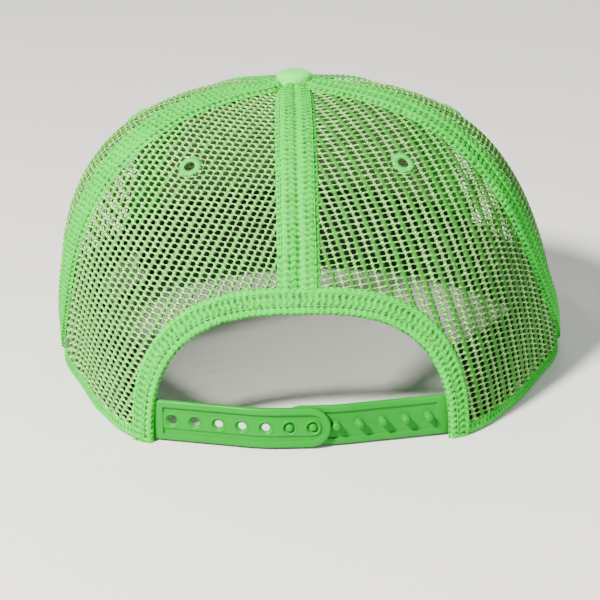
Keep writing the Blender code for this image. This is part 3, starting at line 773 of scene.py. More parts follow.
# Each knit's look and the slant of its links.
MESH_LEFT = yarn_look("mesh_yarn_left", 0.64, 0.50), 0.64
MESH_SIDE = yarn_look("mesh_yarn_side", 0.21, 0.35), 0.21
MESH_RIGHT = yarn_look("mesh_yarn_right", -0.25, 0.14), -0.25
FOLDED = folded_look("folded_mesh_yarn", (0.001, 0.07, 0.004), (0.005, 0.30, 0.012), (0.022, 0.56, 0.026))
CLOTH = woven_look("green_twill", (0.022, 0.46, 0.035), (0.008, 0.28, 0.018), 0.9 * MM, 0.07 * MM, twill=True)
# The button's cloth is the same green cloth as the twill, painted far paler: painted light on the lit top of
# the crown.
BUTTON = woven_look("button_cloth", (0.10, 0.80, 0.09), (0.05, 0.62, 0.05), 0.8 * MM, 0.06 * MM, twill=True)
TAPE = woven_look("green_tape", (0.025, 0.48, 0.04), (0.010, 0.30, 0.02), 0.8 * MM, 0.08 * MM)
# The lining is white cloth, painted a dark olive for the shade inside the crown and the green light that
# reaches it through the mesh: painted shade.
LINING = woven_look("front_lining", (0.26, 0.36, 0.19), (0.17, 0.26, 0.12), 1.1 * MM, 0.12 * MM)
WHITE = woven_look("white_tape", (0.80, 0.82, 0.74), (0.66, 0.68, 0.60), 1.0 * MM, 0.10 * MM)
BLACK = woven_look("black_sweatband", (0.020, 0.020, 0.021), (0.009, 0.009, 0.010), 0.8 * MM, 0.09 * MM)
PLASTIC = plastic_look("strap_plastic", (0.001, 0.235, 0.012), (0.001, 0.195, 0.009))
BOARD = plastic_look("board_plastic", (0.022, 0.42, 0.034), (0.012, 0.34, 0.024))
THREAD = thread_look("green_thread", (0.06, 0.62, 0.07), (0.014, 0.34, 0.025))
WHITE_THREAD = thread_look("white_thread", (0.8, 0.8, 0.76), (0.55, 0.55, 0.5))
METAL = metal_look("rivet_metal")


# ---------------------------------------------------------------- crown pieces
def seam_offset(azimuth, climb, across):
    """Azimuth at a distance across a seam, on the crown's outer face."""
    return azimuth + np.degrees(np.arctan2(across, girth(azimuth, climb)))


def make_mesh_panels():
    """Both rear panels and both side panels of the knit."""
    for side, sign in (("left", 1), ("right", -1)):
        rear = Panel(sign, lambda climb: 0.0 * np.asarray(climb), rear_seam)
        looks = (MESH_LEFT, MESH_SIDE) if sign > 0 else (MESH_RIGHT, MESH_RIGHT)
        mesh_panel("rear_mesh_" + side, rear, Drape(*REAR_DRAPES[sign]), EYELETS["rear"], looks[0], True)
        flank = Panel(sign, rear_seam, lambda climb: FRONT_SEAM + 0.0 * np.asarray(climb))
        wale, course = SIDE_DRAPE
        drape = Drape((wale[0], sign * wale[1], *wale[2:]), (sign * course[0], *course[1:]))
        mesh_panel("side_mesh_" + side, flank, drape, EYELETS["side"], looks[1])


def knit_relief(across, along, seed):
    """Surface of knit folded double, 0 to 1: wavy ridges along the band and dimples in columns."""
    wale = across / FOLD_WALE
    course = along / FOLD_COURSE + 0.15 * wale
    rng = np.random.default_rng(seed)
    table = rng.uniform(0, 1, (64, 512, 3))
    cell = (np.round(wale).astype(int) % 64, np.round(course).astype(int) % 512)
    rough = table[cell]
    off_wale, off_course = wale - np.round(wale), course - np.round(course)
    drift = 0.10 * np.sin(along / (9.3 * MM) + across / (4.1 * MM)) + 0.06 * np.sin(along / (3.7 * MM))
    swing = 0.20 * np.sin(2 * pi * (wale + 0.25 + drift))
    ridge = 0.5 + 0.5 * np.cos(2 * pi * (course + swing + 0.5 + drift))
    ridge = ridge ** (0.8 + 0.6 * np.sin(3.1 * wale))
    dimple = np.exp(-((off_wale / 0.15) ** 2) - ((off_course / 0.24) ** 2))
    crumple = 0.5 + 0.25 * np.sin(across / (0.9 * MM) + 2 * np.sin(along / (1.7 * MM)))
    height = 0.35 + 0.45 * ridge + 0.12 * (crumple - 0.5) - dimple * (0.25 + 0.75 * rough[..., 0])
    return np.clip(height, 0.0, 1.0)


def relief_cloth(name, place, width, length, seed, relief=0.85 * MM):
    """A cloth of folded knit: place(x, y, lift) over x across its width and y along it."""
    columns, rows = int(width / FOLD_STEP), int(length / FOLD_STEP)
    across = np.linspace(-width / 2, width / 2, columns + 1)
    x, y = np.meshgrid(across, np.linspace(0, length, rows + 1), indexing="ij")
    x, y = x.ravel(), y.ravel()
    high = knit_relief(x, y, seed)
    points = place(x, y, relief * (high - 0.6))
    show(name, points, grid_faces(columns, rows), FOLDED, pattern=np.stack([x, y, high], -1))


def band_profile(across, furrow):
    """Height of a folded band over the panel: rounded edges and a furrow along its middle."""
    edge = np.clip(np.abs(across) / (BAND_WIDTH / 2), 0, 1)
    body = 1.35 * MM * (1 - edge**6)
    pads = 0.22 * MM * np.sin(edge * pi)
    return body + pads - furrow * np.exp(-((across / (0.8 * MM)) ** 2))


def seam_band(name, seam, climbs, seed, furrow=0.6 * MM):
    """A band of folded mesh over a seam, rising under the button, with a tape inside."""
    line_climb = np.linspace(climbs[0], climbs[1], 200)
    run = distances(crown_outer(seam(line_climb), line_climb))

    def place(x, y, lift):
        climb = np.interp(y, run, line_climb)
        azimuth = seam(climb)
        half = across_seam(BAND_WIDTH, azimuth, climb, 33.0)
        share = x / (BAND_WIDTH / 2)
        near_top = np.exp(-np.maximum(girth(azimuth, climb) - 7 * MM, 0) / (6 * MM))
        height = band_profile(x, furrow) + 1.2 * MM * near_top * (1 - share**4)
        return crown_point(azimuth + half * share, climb, -height - lift)

    relief_cloth(name, place, BAND_WIDTH, run[-1], seed)

    def inside(u, v, depth):
        climb = line_climb[0] + (line_climb[-1] - line_climb[0]) * v
        turn = seam_offset(seam(climb), climb, (u - 0.5) * BAND_TAPE)
        return crown_point(turn, climb, 1.15 * MM + depth)

    cloth(name + "_inside_tape", inside, 6, 60, TAPE, 0.4 * MM, size=(BAND_TAPE, run[-1]))
    y = np.linspace(1 * MM, run[-1] - 3 * MM, 160)
    rows = [row_on(place, np.full_like(y, x), y, 0.16 * MM) for x in (-6.3 * MM, 6.3 * MM)]
    stitches(name + "_stitching", rows, THREAD, 2.9 * MM, 0.2 * MM)


def make_bands():
    """The bands over the centre back seam and both rear seams."""
    summit = 1 - (6.7 * MM / TOP_RADIUS) / (pi / 2)
    arch_top = float(climb_at(0.0, 57.6 * MM))
    seam_band("center_back_seam_band", lambda climb: 0.0 * np.asarray(climb), (arch_top, summit), 3)
    for side, sign in (("left", 1), ("right", -1)):
        seam_band(
            "rear_seam_band_" + side,
            lambda climb, sign=sign: sign * rear_seam(climb),
            (float(climb_at(96.0, 3.4 * MM)), summit),
            5 + sign,
            furrow=0.35 * MM,
        )


def make_hem():
    """The rim's folded edge: down the outside, under the rim and up inside."""
    turn = np.radians(np.linspace(0, 180, 13))
    section = [(0.75 * MM, 5.0 * MM), (0.05 * MM, 4.5 * MM), (-0.35 * MM, 3.6 * MM), (-0.45 * MM, 2.2 * MM)]
    section += [(0.55 * MM - 1.05 * MM * cos(a), 1.1 * MM - 1.0 * MM * sin(a)) for a in turn]
    section += [(1.6 * MM, 2.4 * MM), (1.6 * MM, 5.0 * MM)]
    section = np.array(section)
    run = distances(section)
    slope = np.gradient(section, run, axis=0)
    for side, sign in (("left", 1), ("right", -1)):
        turns = sign * np.linspace(34.5, 133.0, 300)
        reach = distances(crown_outer(turns, 0 * turns))

        def place(x, y, lift, turns=turns, reach=reach):
            at = x + run[-1] / 2
            azimuth = np.interp(y, reach, turns)
            deep, tall = (np.interp(at, run, section[:, k]) for k in (0, 1))
            lead, rise = (np.interp(at, run, slope[:, k]) for k in (0, 1))
            size = np.hypot(lead, rise)
            deep, tall = deep + lift * rise / size, tall - lift * lead / size
            height = rim_height(azimuth) + tall
            return crown_point(azimuth, climb_at(azimuth, np.maximum(height, 0.02 * MM)), deep)

        relief_cloth("rim_hem_" + side, place, run[-1], reach[-1], 21 + sign, 0.55 * MM)


def punch(piece, centre, normal):
    """Opens a piece under an eyelet's ring, round a line through a crown point."""
    with edited(piece.data) as bm:
        away = np.array([face.calc_center_median() for face in bm.faces]) - (centre + AXIS)
        off_line = away - (away @ normal)[:, None] * normal
        near = np.linalg.norm(off_line, axis=1) < EYELET_HOLE
        near &= np.linalg.norm(away, axis=1) < 8 * MM
        bm.faces.ensure_lookup_table()
        cleared = [bm.faces[int(k)] for k in np.flatnonzero(near)]
        bmesh.ops.delete(bm, geom=cleared, context="FACES")


def edge_crease(distance):
    """How far the front cloth sinks near its centre seam."""
    return 0.5 * MM * np.exp(-((distance / (0.9 * MM)) ** 2))


def front_start(climb):
    """Azimuth at which a front panel starts, its seam turned under, and the crown's girth there."""
    reach = girth(FRONT_SEAM, climb)
    return FRONT_SEAM - np.degrees(FRONT_TURNED / reach), reach


def make_front():
    """Outer cloth and stiff lining of both front panels, opened for their eyelets."""
    summit = 1 - (4.0 * MM / TOP_RADIUS) / (pi / 2)
    cut_size = (0.076, 0.135)
    for side, sign in (("left", 1), ("right", -1)):

        def place(u, v, depth, sign=sign):
            climb = v * summit
            start, reach = front_start(climb)
            azimuth = start + (180.0 - start) * u
            arc = np.radians(azimuth - start) * reach
            left = np.radians(180.0 - azimuth) * reach
            turned_under = FRONT_PROUD * np.exp(-((arc / (0.7 * MM)) ** 2))
            proud = FRONT_PROUD - edge_crease(left + 0.15 * MM) - turned_under
            puff = 0.35 * MM * np.sin(pi * np.clip(u, 0, 1)) * np.sin(pi * np.clip(v, 0, 1))
            return crown_point(sign * azimuth, climb, depth - proud - puff)

        def lining(u, v, depth, sign=sign):
            azimuth = FRONT_SEAM + 0.3 + (179.7 - FRONT_SEAM) * u
            return crown_point(sign * azimuth, v * summit, 1.35 * MM + depth)

        eyelet = crown_frame(sign * EYELETS["front"][0], EYELETS["front"][1])
        punch(cloth("front_panel_" + side, place, 150, 180, CLOTH, 0.75 * MM, cut_size), *eyelet)
        v = np.linspace(0.02, 0.93, 200)
        start, reach = front_start(v * summit)
        by_seam = np.degrees(3.0 * MM / reach) / (180.0 - start)
        by_centre = 1 - np.degrees(3.2 * MM / reach) / (180.0 - start)
        rows = []
        for u in (by_seam, by_centre):
            keep = (u > 0) & (u < 1)
            rows.append(row_on(place, u[keep], v[keep], 0.0, -MM))
        stitches("front_panel_stitching_" + side, rows, THREAD)
        punch(cloth("front_backing_" + side, lining, 150, 180, LINING, 0.5 * MM, cut_size), *eyelet)


def inside_tape(name, seam, width, look, thread):
    """A tape sewn over a front seam inside the crown."""
    summit = 1 - (7.4 * MM / TOP_RADIUS) / (pi / 2)

    def place(u, v, depth):
        climb = 0.01 + (summit - 0.01) * v
        half = across_seam(width, seam, climb, 22.0)
        share = u * 2 - 1
        bulge = 0.35 * MM * (1 - share**6)
        return crown_point(seam + half * share, climb, 2.15 * MM + bulge + (0.5 * MM - depth) * 0.8)

    cloth(name, place, 12, 70, look, 0.45 * MM, (width, 0.14))
    v = np.linspace(0.02, 0.9, 160)
    rows = [row_on(place, np.full_like(v, u), v, 0.0, -MM) for u in (0.14, 0.86)]
    stitches(name + "_stitching", rows, thread, 3.0 * MM, 0.2 * MM)


# ---------------------------------------------------------------- binding
def arch_curve(share, turn):
    """A point (x, z) on the arch's outline, share 0 on its inner edge and 1 on its outer one."""
    wide = ARCH_HALF_WIDTH + BINDING_SIDE * share
    tall = ARCH_HEIGHT + BINDING_TOP * share
    across = np.abs(np.cos(turn)) ** (2 / ARCH_POWER) * np.sign(np.cos(turn))
    up = np.maximum(np.sin(turn), 0.0) ** (2 / ARCH_POWER)
    return wide * across, tall * up


def make_binding():
    """Folded mesh round the arch: an outer face, a rolled inner edge and an inner face."""
    turns = (1 - np.cos(np.linspace(0, pi, 1200))) / 2 * pi
    run = distances(np.stack(arch_curve(0.4, turns), -1))
    length = float(run[-1])
    roll, face, inner = 1.45 * MM, 7.8 * MM, 6.8 * MM
    full = face + pi * roll + inner

    def section(q):
        """(distance outwards from the inner edge, depth) and its outward normal."""
        angle = np.clip((q - face) / roll, 0, pi) - pi / 2
        away = roll - roll * np.cos(angle)
        deep = 0.30 * MM + roll * np.sin(angle)
        lead = np.clip(face - q, 0, None)
        trail = np.clip(q - face - pi * roll, 0, None)
        dome = 0.25 * MM * np.sin(np.clip(lead / face, 0, 1) * pi)
        close = 0.9 * MM * ease((lead / face - 0.86) / 0.14)
        return away + lead + trail, deep - dome + close, -np.cos(angle), np.sin(angle)

    def place(q, s, lift):
        q = q + full / 2
        turn = np.interp(s, run, turns)
        away, deep, out_away, out_deep = section(q)
        edge = np.maximum(-out_away, 0) ** 2
        scallop = 0.30 * MM * edge * np.cos(2 * pi * s / FOLD_COURSE)
        lift = lift + scallop
        x, z = arch_curve((away + out_away * lift) / (9.0 * MM), turn)
        return back_point(x, z, deep + out_deep * lift)

    relief_cloth("opening_binding", place, full, length, 11)
    s = np.linspace(2 * MM, length - 2 * MM, 300)
    rows = [row_on(place, np.full_like(s, q - full / 2), s, 0.16 * MM) for q in (1.8 * MM, 6.2 * MM)]
    stitches("opening_binding_stitching", rows, THREAD, 2.7 * MM, 0.2 * MM)


# ---------------------------------------------------------------- inside pieces
def make_sweatband():
    """The band inside the rim, slightly wavy, open at the rear opening."""

    def place(u, v, depth):
        azimuth = 34.0 + 292.0 * u
        height = rim_height(azimuth) + 1.6 * MM + v * 32 * MM
        wave = 0.35 * MM * np.sin(u * 61.0) * v + 0.25 * MM * np.sin(u * 143.0 + 1.0) * v
        return crown_point(azimuth, climb_at(azimuth, height), 5.0 * MM + wave + depth)

    cloth("sweatband", place, 260, 14, BLACK, 1.2 * MM, (0.5, 0.032))
    u = np.linspace(0.003, 0.997, 900)
    rows = [row_on(place, u, np.full_like(u, v), 1.2 * MM) for v in (0.06, 0.94)]
    stitches("sweatband_stitching", rows, BLACK, 3.4 * MM, 0.22 * MM)


def make_label():
    """A cloth label hanging inside from the sweatband, its lower end folded up towards the head."""

    def place(u, v, depth):
        azimuth = 113.0 + 17.0 * u
        fold = np.clip((0.25 - v) / 0.25, 0, 1)
        height = (6.5 + 5.0 * u + 16.0 * np.maximum(v, 0.25) + 5.0 * fold - 4.0) * MM
        stand = 3.2 * MM * (1 - np.clip(v, 0.25, 1)) ** 1.5 + 1.4 * MM * ease(fold * 1.6)
        curl = 0.3 * MM * np.sin(u * 5)
        return crown_point(azimuth, climb_at(azimuth, height), 6.75 * MM + stand + curl + depth)

    cloth("care_label", place, 30, 40, WHITE, 0.3 * MM, (0.03, 0.02))


# ---------------------------------------------------------------- button and eyelets
def across_normal(normal):
    """Two directions square to a normal and to each other."""
    one = np.cross((0.0, 0.0, 1.0) if abs(normal[2]) < 0.9 else (1.0, 0.0, 0.0), normal)
    one /= np.linalg.norm(one)
    return one, np.cross(normal, one)


def turned_piece(name, profile, look, centre, normal, sides, shape):
    """A turned piece about a normal; shape(angle, radius, lift) gives its radius and lift there."""
    profile = np.array(profile, float)
    angle = np.arange(sides) * 2 * pi / sides
    normal = np.array(normal, float)
    normal /= np.linalg.norm(normal)
    one, two = across_normal(normal)
    radius = profile[:, 0][:, None] * np.ones(sides)
    lift = profile[:, 1][:, None] * np.ones(sides)
    radius, lift = shape(angle[None], radius, lift)
    points = (
        np.array(centre)
        + radius[..., None] * (one * np.cos(angle)[:, None] + two * np.sin(angle)[:, None])
        + lift[..., None] * normal
    )
    count = len(profile)
    k, a = np.meshgrid(np.arange(count - 1), np.arange(sides), indexing="ij")
    b = (a + 1) % sides
    faces = np.stack([k * sides + a, (k + 1) * sides + a, (k + 1) * sides + b, k * sides + b], -1)
    turn = np.broadcast_to(angle[None] * 4 * MM, radius.shape)
    run = np.broadcast_to(np.arange(count)[:, None] * 0.6 * MM, radius.shape)
    pattern = np.stack([turn, run, 0 * run], -1).reshape(-1, 3)
    show(name, points.reshape(-1, 3), faces.reshape(-1, 4), look, pattern=pattern)


def make_button():
    """A domed button whose cloth gathers towards its lower edge."""
    turn = np.linspace(0, pi / 2, 16)
    profile = [(6.9 * MM * sin(a) ** 0.8, (2.7 + 3.0 * cos(a) ** 0.58) * MM) for a in turn]
    profile += [(7.1 * MM, 1.4 * MM), (6.9 * MM, 0.6 * MM), (6.2 * MM, 0.32 * MM)]

    def gather(angle, radius, lift):
        low = ease((3.0 * MM - lift) / (3.0 * MM))
        return radius * (1 + low * 0.012 * np.sin(angle * 14) + low * 0.008 * np.sin(angle * 23 + 1)), lift

    turned_piece("button_cover", profile, BUTTON, (0, 0, CROWN_HEIGHT), (0, 0, 1), 96, gather)


def make_eyelets():
    """Embroidered rings: a fat ring crossed by radial threads, over both faces of the cloth."""
    rng = np.random.default_rng(17)
    middle, half, count = EYELET_MIDDLE, EYELET_HALF, 46
    share = np.linspace(0, 1, 9)
    for place_name, (azimuth, climb) in EYELETS.items():
        for side, sign in (("left", 1), ("right", -1)):
            centre, normal = crown_frame(sign * azimuth, climb)
            front = place_name == "front"
            proud, deep = (1.35 * MM, 2.2 * MM) if front else (0.50 * MM, 0.85 * MM)
            turn = np.linspace(0, 2 * pi, 25)
            profile = [(middle + half * sin(a), (proud if cos(a) > 0 else deep) * cos(a)) for a in turn]

            def threads(angle, radius, lift):
                ripple = 1 + 0.14 * np.abs(np.sin(angle * 17)) + 0.06 * np.sin(angle * 5) * np.sin(angle * 11)
                outer = np.maximum(radius - middle, 0.0)
                inner = np.minimum(radius - middle, 0.0)
                return middle + outer * ripple + inner * (0.8 + 0.2 * ripple), lift * ripple

            name = f"eyelet_{place_name}_{side}"
            turned_piece(name, profile, THREAD, centre, normal, 136, threads)
            one, two = across_normal(normal)
            angle = (np.arange(count) + rng.uniform(-0.3, 0.3, count)) * 2 * pi / count
            lean = rng.uniform(-0.16, 0.16, count)
            end = 4.35 * MM + rng.uniform(0, 0.75, count) * MM
            reach = 2.25 * MM + (end[:, None] - 2.25 * MM) * share
            heading = angle[:, None] + lean[:, None] * (share - 0.5)
            base = 0.75 * MM if front else -0.12 * MM
            over = np.sqrt(np.maximum(1 - ((reach - middle) / (1.25 * half)) ** 2, 0.0))
            up = base + (proud + 0.10 * MM - base) * over
            paths = (
                centre
                + (reach * np.cos(heading))[..., None] * one
                + (reach * np.sin(heading))[..., None] * two
                + up[..., None] * normal
            )
            show(name + "_threads", *tubes(paths, 0.17 * MM * (1 - 0.5 * share**3), 5), THREAD)


# ---------------------------------------------------------------- snap strap
def strap_line(x, slope):
    """(y, heading) of a strap's line in plan; past the hinge it turns in behind the binding."""
    x = np.asarray(x, float)
    turn = radians(slope)
    end = STRAP_FLAT + STRAP_BEND * sin(turn)
    heading = np.clip((x - STRAP_FLAT) / STRAP_BEND, 0, 1)
    arc = STRAP_BEND * (1 - np.sqrt(1 - np.minimum(heading, sin(turn)) ** 2))
    drop = arc + np.maximum(x - end, 0) * sin(turn) / cos(turn)
    tuck = np.maximum(x - 50.5 * MM, 0.0)
    drop = drop + 14.0 * tuck**2
    slant = np.where(x <= STRAP_FLAT, 0.0, np.minimum(np.arcsin(np.minimum(heading, sin(turn))), turn))
    return STRAP_LINE_Y - drop, slant + np.arctan(28.0 * tuck)


def bend_strap(points, sign, slope):
    """Flat strap points (distance from the middle, height, out) to the cap."""
    y, heading = strap_line(points[:, 0], slope)
    x = points[:, 0] + points[:, 2] * np.sin(heading)
    return np.stack([sign * x, y + points[:, 2] * np.cos(heading), points[:, 1]], -1)


def stadium(start, end, low, high, steps=20):
    """Outline of a bar whose end at start is a half circle."""
    half = (high - low) / 2
    turn = np.linspace(pi / 2, 3 * pi / 2, steps + 1)
    round_end = [(start + half + half * cos(a), (low + high) / 2 + half * sin(a)) for a in turn]
    return [(end, high), *round_end, (end, low)]


def helper(bm):
    """A scene object from a bmesh, for the cuts."""
    mesh = bpy.data.meshes.new("helper")
    bm.to_mesh(mesh)
    bm.free()
    obj = bpy.data.objects.new("helper", mesh)
    bpy.context.scene.collection.objects.link(obj)
    return obj


def prism(outline, low, high, taper=0.0):
    """A prism over an outline (x, height) between two out distances, its low end drawn in."""
    outline = np.array(outline)
    count = len(outline)
    centre = outline.mean(0)
    size = outline.max(0) - outline.min(0)
    shrunk = centre + (outline - centre) * (1 - 2 * taper / size)
    bm = bmesh.new()
    bottom = [bm.verts.new((x, z, low)) for x, z in shrunk]
    top = [bm.verts.new((x, z, high)) for x, z in outline]
    bm.faces.new(bottom[::-1])
    bm.faces.new(top)
    for k in range(count):
        n = (k + 1) % count
        bm.faces.new((bottom[k], bottom[n], top[n], top[k]))
    bmesh.ops.recalc_face_normals(bm, faces=bm.faces)
    return bm


def cut(target, cutter, operation="DIFFERENCE"):
    """Cuts one object by another, or joins them, and removes the second."""
    modifier = target.modifiers.new("cut", "BOOLEAN")
    modifier.object = cutter
    modifier.operation = operation
    modifier.solver = "EXACT"
    graph = bpy.context.evaluated_depsgraph_get()
    mesh = bpy.data.meshes.new_from_object(target.evaluated_get(graph))
    target.modifiers.clear()
    target.data = mesh
    bpy.data.objects.remove(cutter, do_unlink=True)


def drill(x, low, high):
    """A cylinder through the strap's face, for cutting a hole."""
    bm = bmesh.new()
    size = {"radius1": SNAP_HOLE, "radius2": SNAP_HOLE, "depth": high - low}
    bmesh.ops.create_cone(bm, cap_ends=True, segments=28, **size)
    bmesh.ops.translate(bm, verts=bm.verts, vec=(x, STRAP_MIDDLE, (low + high) / 2))
    return bm


def lathe(x, profile, sides):
    """Flat-frame points and faces of a small turned feature on the strap's face."""
    angle = np.arange(sides) * 2 * pi / sides
    ring = np.stack([np.cos(angle), np.sin(angle)], -1)
    centre = np.array((x, STRAP_MIDDLE))
    rings = [np.c_[centre + ring * radius, np.full(sides, out)] for radius, out in profile]
    points = np.concatenate(rings)
    faces = []
    for k in range(len(profile) - 1):
        for a in range(sides):
            b = (a + 1) % sides
            faces.append((k * sides + a, k * sides + b, (k + 1) * sides + b, (k + 1) * sides + a))
    faces.append(tuple((len(profile) - 1) * sides + a for a in range(sides)))
    return points, faces




def round_edges(body, out, offset, segments):
    """Rounds the outline's edges that lie at one out distance."""
    with edited(body.data) as bm:
        edges = [e for e in bm.edges if all(abs(v.co.z - out) < 1e-6 for v in e.verts)]
        sharp = [e for e in edges if e.is_manifold and e.calc_face_angle() > radians(50)]
        bmesh.ops.bevel(bm, geom=sharp, offset=offset, segments=segments, profile=0.5, affect="EDGES")


def racetrack(half):
    """Outline of the raised field: squared at its sewn end, round at its tip."""
    turn = np.linspace(pi / 2, 3 * pi / 2, 21)
    tip = [(SNAP_PLACES[0] + half * cos(a), STRAP_MIDDLE + half * sin(a)) for a in turn]
    return [(FIELD_END, STRAP_MIDDLE + half), *tip, (FIELD_END, STRAP_MIDDLE - half)]


def snap_pegs(floor):
    """The male strap's pegs, and small raised ovals beside the last of them."""
    for x in SNAP_PLACES:
        yield lathe(x, [(radius * MM, floor + up * MM) for radius, up in PEG], 24)
    turn = np.linspace(0, 2 * pi, 21)
    for x in SNAP_PLACES[3:-1]:
        along = x + 4.3 * MM + 1.2 * MM * np.cos(turn)
        mark = np.stack([along, STRAP_MIDDLE + 0.55 * MM * np.sin(turn), floor + 0 * turn], -1)
        yield tubes(mark[None], 0.09 * MM, 6)


def make_strap(kind, sign, tip, thickness, out, recess):
    """One strap from its rounded tip to its sewn end, with its rims, recess and snaps."""
    slope = SLOPES[kind]
    low, high = out, out + thickness
    floor = high - recess
    body = helper(prism(stadium(tip, STRAP_END, STRAP_LOW, STRAP_HIGH, 28), low, high))
    round_edges(body, high, 0.85 * MM, 4)
    round_edges(body, low, 0.30 * MM, 2)
    inner = stadium(tip + STRAP_RIM, RECESS_END, STRAP_LOW + STRAP_RIM, STRAP_HIGH - STRAP_RIM, 28)
    cut(body, helper(prism(inner, floor, high + 1 * MM, 0.55 * MM)))
    extra = []
    if kind == "female":
        wide, narrow = (racetrack(FIELD_HALF + more) for more in (0.22 * MM, -0.10 * MM))
        field = prism(wide, floor - 0.3 * MM, floor + 0.50 * MM)
        field.verts.ensure_lookup_table()
        for k, (x, z) in enumerate(narrow):
            field.verts[len(wide) + k].co.x, field.verts[len(wide) + k].co.y = x, z
        cut(body, helper(field), "UNION")
        for x in SNAP_PLACES:
            cut(body, helper(drill(x, low - 1 * MM, high + 1 * MM)))
            profile = [(radius * MM, low + up * MM) for radius, up in DISH]
            points, faces = lathe(x, profile, 36)
            extra.append((points, faces[:-1]))
    else:
        extra.extend(snap_pegs(floor))
    bm = bmesh.new()
    bm.from_mesh(body.data)
    bpy.data.objects.remove(body, do_unlink=True)
    bmesh.ops.remove_doubles(bm, verts=bm.verts, dist=0.002 * MM)
    for x in np.arange(STRAP_FLAT, STRAP_END, 1.3 * MM):
        everything = bm.verts[:] + bm.edges[:] + bm.faces[:]
        bmesh.ops.bisect_plane(bm, geom=everything, plane_co=(x, 0, 0), plane_no=(1, 0, 0))
    bmesh.ops.triangulate(bm, faces=[f for f in bm.faces if len(f.verts) > 4])
    bm.verts.index_update()
    points = [np.array([v.co[:] for v in bm.verts])]
    faces = [[v.index for v in f.verts] for f in bm.faces]
    bm.free()
    count = len(points[0])
    for more_points, more_faces in extra:
        faces += [[int(i) + count for i in face] for face in more_faces]
        points.append(more_points)
        count += len(more_points)
    name = "snap_strap_" + kind
    placed = bend_strap(np.concatenate(points), sign, slope)
    strap = show(name + "_moulding", placed, faces, PLASTIC, body=None, replaces=(name, name + "_tab"))
    with edited(strap.data) as bm:
        bmesh.ops.recalc_face_normals(bm, faces=bm.faces)
    strap.data.set_sharp_from_angle(angle=radians(38))
    flat_ends = np.array([(x, STRAP_MIDDLE, 0.0) for x in (BLEND_START, BLEND_END)])
    start, stop = (Vector(point + AXIS) for point in bend_strap(flat_ends, sign, slope))
    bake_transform(strap)
    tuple(start)
    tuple(stop)


# ---------------------------------------------------------------- brim
def brim_plan(u, v):
    """Plan point: u from the wearer's left to right along the edge, v from root to edge."""
    azimuth = BRIM_AZIMUTH + (360.0 - 2 * BRIM_AZIMUTH) * u
    ends = np.exp(-((np.minimum(u, 1 - u) / 0.03) ** 2))
    root = crown_point(azimuth, climb_at(azimuth, rim_height(azimuth)), (0.6 - 1.5 * ends) * MM)
    turn = pi * u
    across = np.abs(np.cos(turn)) ** (2 / BRIM_POWER) * np.sign(np.cos(turn))
    forward = np.maximum(np.sin(turn), 0.0) ** (2 / BRIM_POWER)
    edge_x = (BRIM_HALF_WIDTH + 0.4 * MM) * across
    edge_y = BRIM_TIP - (BRIM_TIP - BRIM_FRONT) * forward
    return root[..., 0] + (edge_x - root[..., 0]) * v, root[..., 1] + (edge_y - root[..., 1]) * v


def brim_under(x, y):
    """Height of the brim's lower face: an arch across it, rising a little to the root."""
    arch = 9.5 * MM * (1 - (x / BRIM_HALF_WIDTH) ** 2)
    return 0.5 * MM + arch + 0.015 * (y - BRIM_CORNER)


def make_brim():
    """The covers of both faces, closed round the board's edge, and their rows of stitches."""

    def place_side(top):
        def place(u, v, depth):
            reach = np.clip(v / BRIM_FLAT, 0, 1)
            x, y = brim_plan(u, reach * BRIM_TURN)
            angle = np.clip((v - BRIM_FLAT) / 0.08, 0, 1) * pi / 2
            edge_x, edge_y = brim_plan(u, BRIM_TURN + 0.015 * np.sin(angle))
            x = np.where(v > BRIM_FLAT, edge_x, x)
            y = np.where(v > BRIM_FLAT, edge_y, y)
            half = BRIM_THICKNESS / 2
            swell = 0.25 * MM * np.sin(reach * pi)
            tip = np.clip(np.minimum(u, 1 - u) / 0.0022, 0, 1)
            close = np.sqrt(1 - (1 - tip) ** 2)
            flat = np.where(v > BRIM_FLAT, np.cos(angle), 1.0)
            height = (half * flat + swell * (0.7 if top else 0.0)) * close
            sign = 1.0 if top else -1.0
            z = brim_under(x, y) + half + sign * height
            return np.stack([x, y, z - sign * depth], -1)

        return place

    def laid(side):
        """The side's cover with its columns gathered towards both corners."""
        return lambda u, v, depth: side((1 - np.cos(pi * u)) / 2, v, depth)

    top, under = place_side(True), place_side(False)
    shape = {"columns": 150, "rows": 66, "look": CLOTH, "size": (0.2, 0.08)}
    cloth("brim_top_cover", laid(top), **shape)
    cloth("brim_under_cover", laid(under), **shape).data.flip_normals()
    rows = {"top": [], "under": []}
    u = np.linspace(0.012, 0.988, 700)
    x0, y0 = brim_plan(u, np.zeros_like(u))
    x1, y1 = brim_plan(u, np.full_like(u, BRIM_TURN))
    reach = np.hypot(x1 - x0, y1 - y0)
    for inset in BRIM_ROWS:
        v = (1 - inset / reach) * BRIM_FLAT
        keep = v > 0.03
        for name, place, sign in (("top", top, 1), ("under", under, -1)):
            points = place(u[keep], v[keep], 0.0)
            normals = np.zeros_like(points)
            normals[:, 2] = sign
            rows[name].append((points, normals))
    for name, lines in rows.items():
        stitches(f"brim_{name}_stitching", lines, THREAD, 3.4 * MM, 0.23 * MM)


# ---------------------------------------------------------------- stage
def make_stage():
    """A plain pale floor, on the stage only, and soft light from all round."""
    floor_look = Look("pale_floor", 0.7)
    floor_look.finish(floor_look.mix(floor_look.noise(6.0), (0.66, 0.65, 0.63), (0.72, 0.71, 0.69)))
    mesh = bpy.data.meshes.new("floor")
    mesh.from_pydata([(-6, -6, 0), (6, -6, 0), (6, 6, 0), (-6, 6, 0)], [], [(0, 1, 2, 3)])
    floor = bpy.data.objects.new("floor", mesh)
    mesh.materials.append(floor_look.material)
    bpy.context.scene.collection.objects.link(floor)
    world = bpy.data.worlds.new("studio")
    world.use_nodes = True
    colour, strength = world.node_tree.nodes["Background"].inputs[:2]
    colour.default_value, strength.default_value = (0.93, 0.92, 0.91, 1.0), 0.36
    bpy.context.scene.world = world


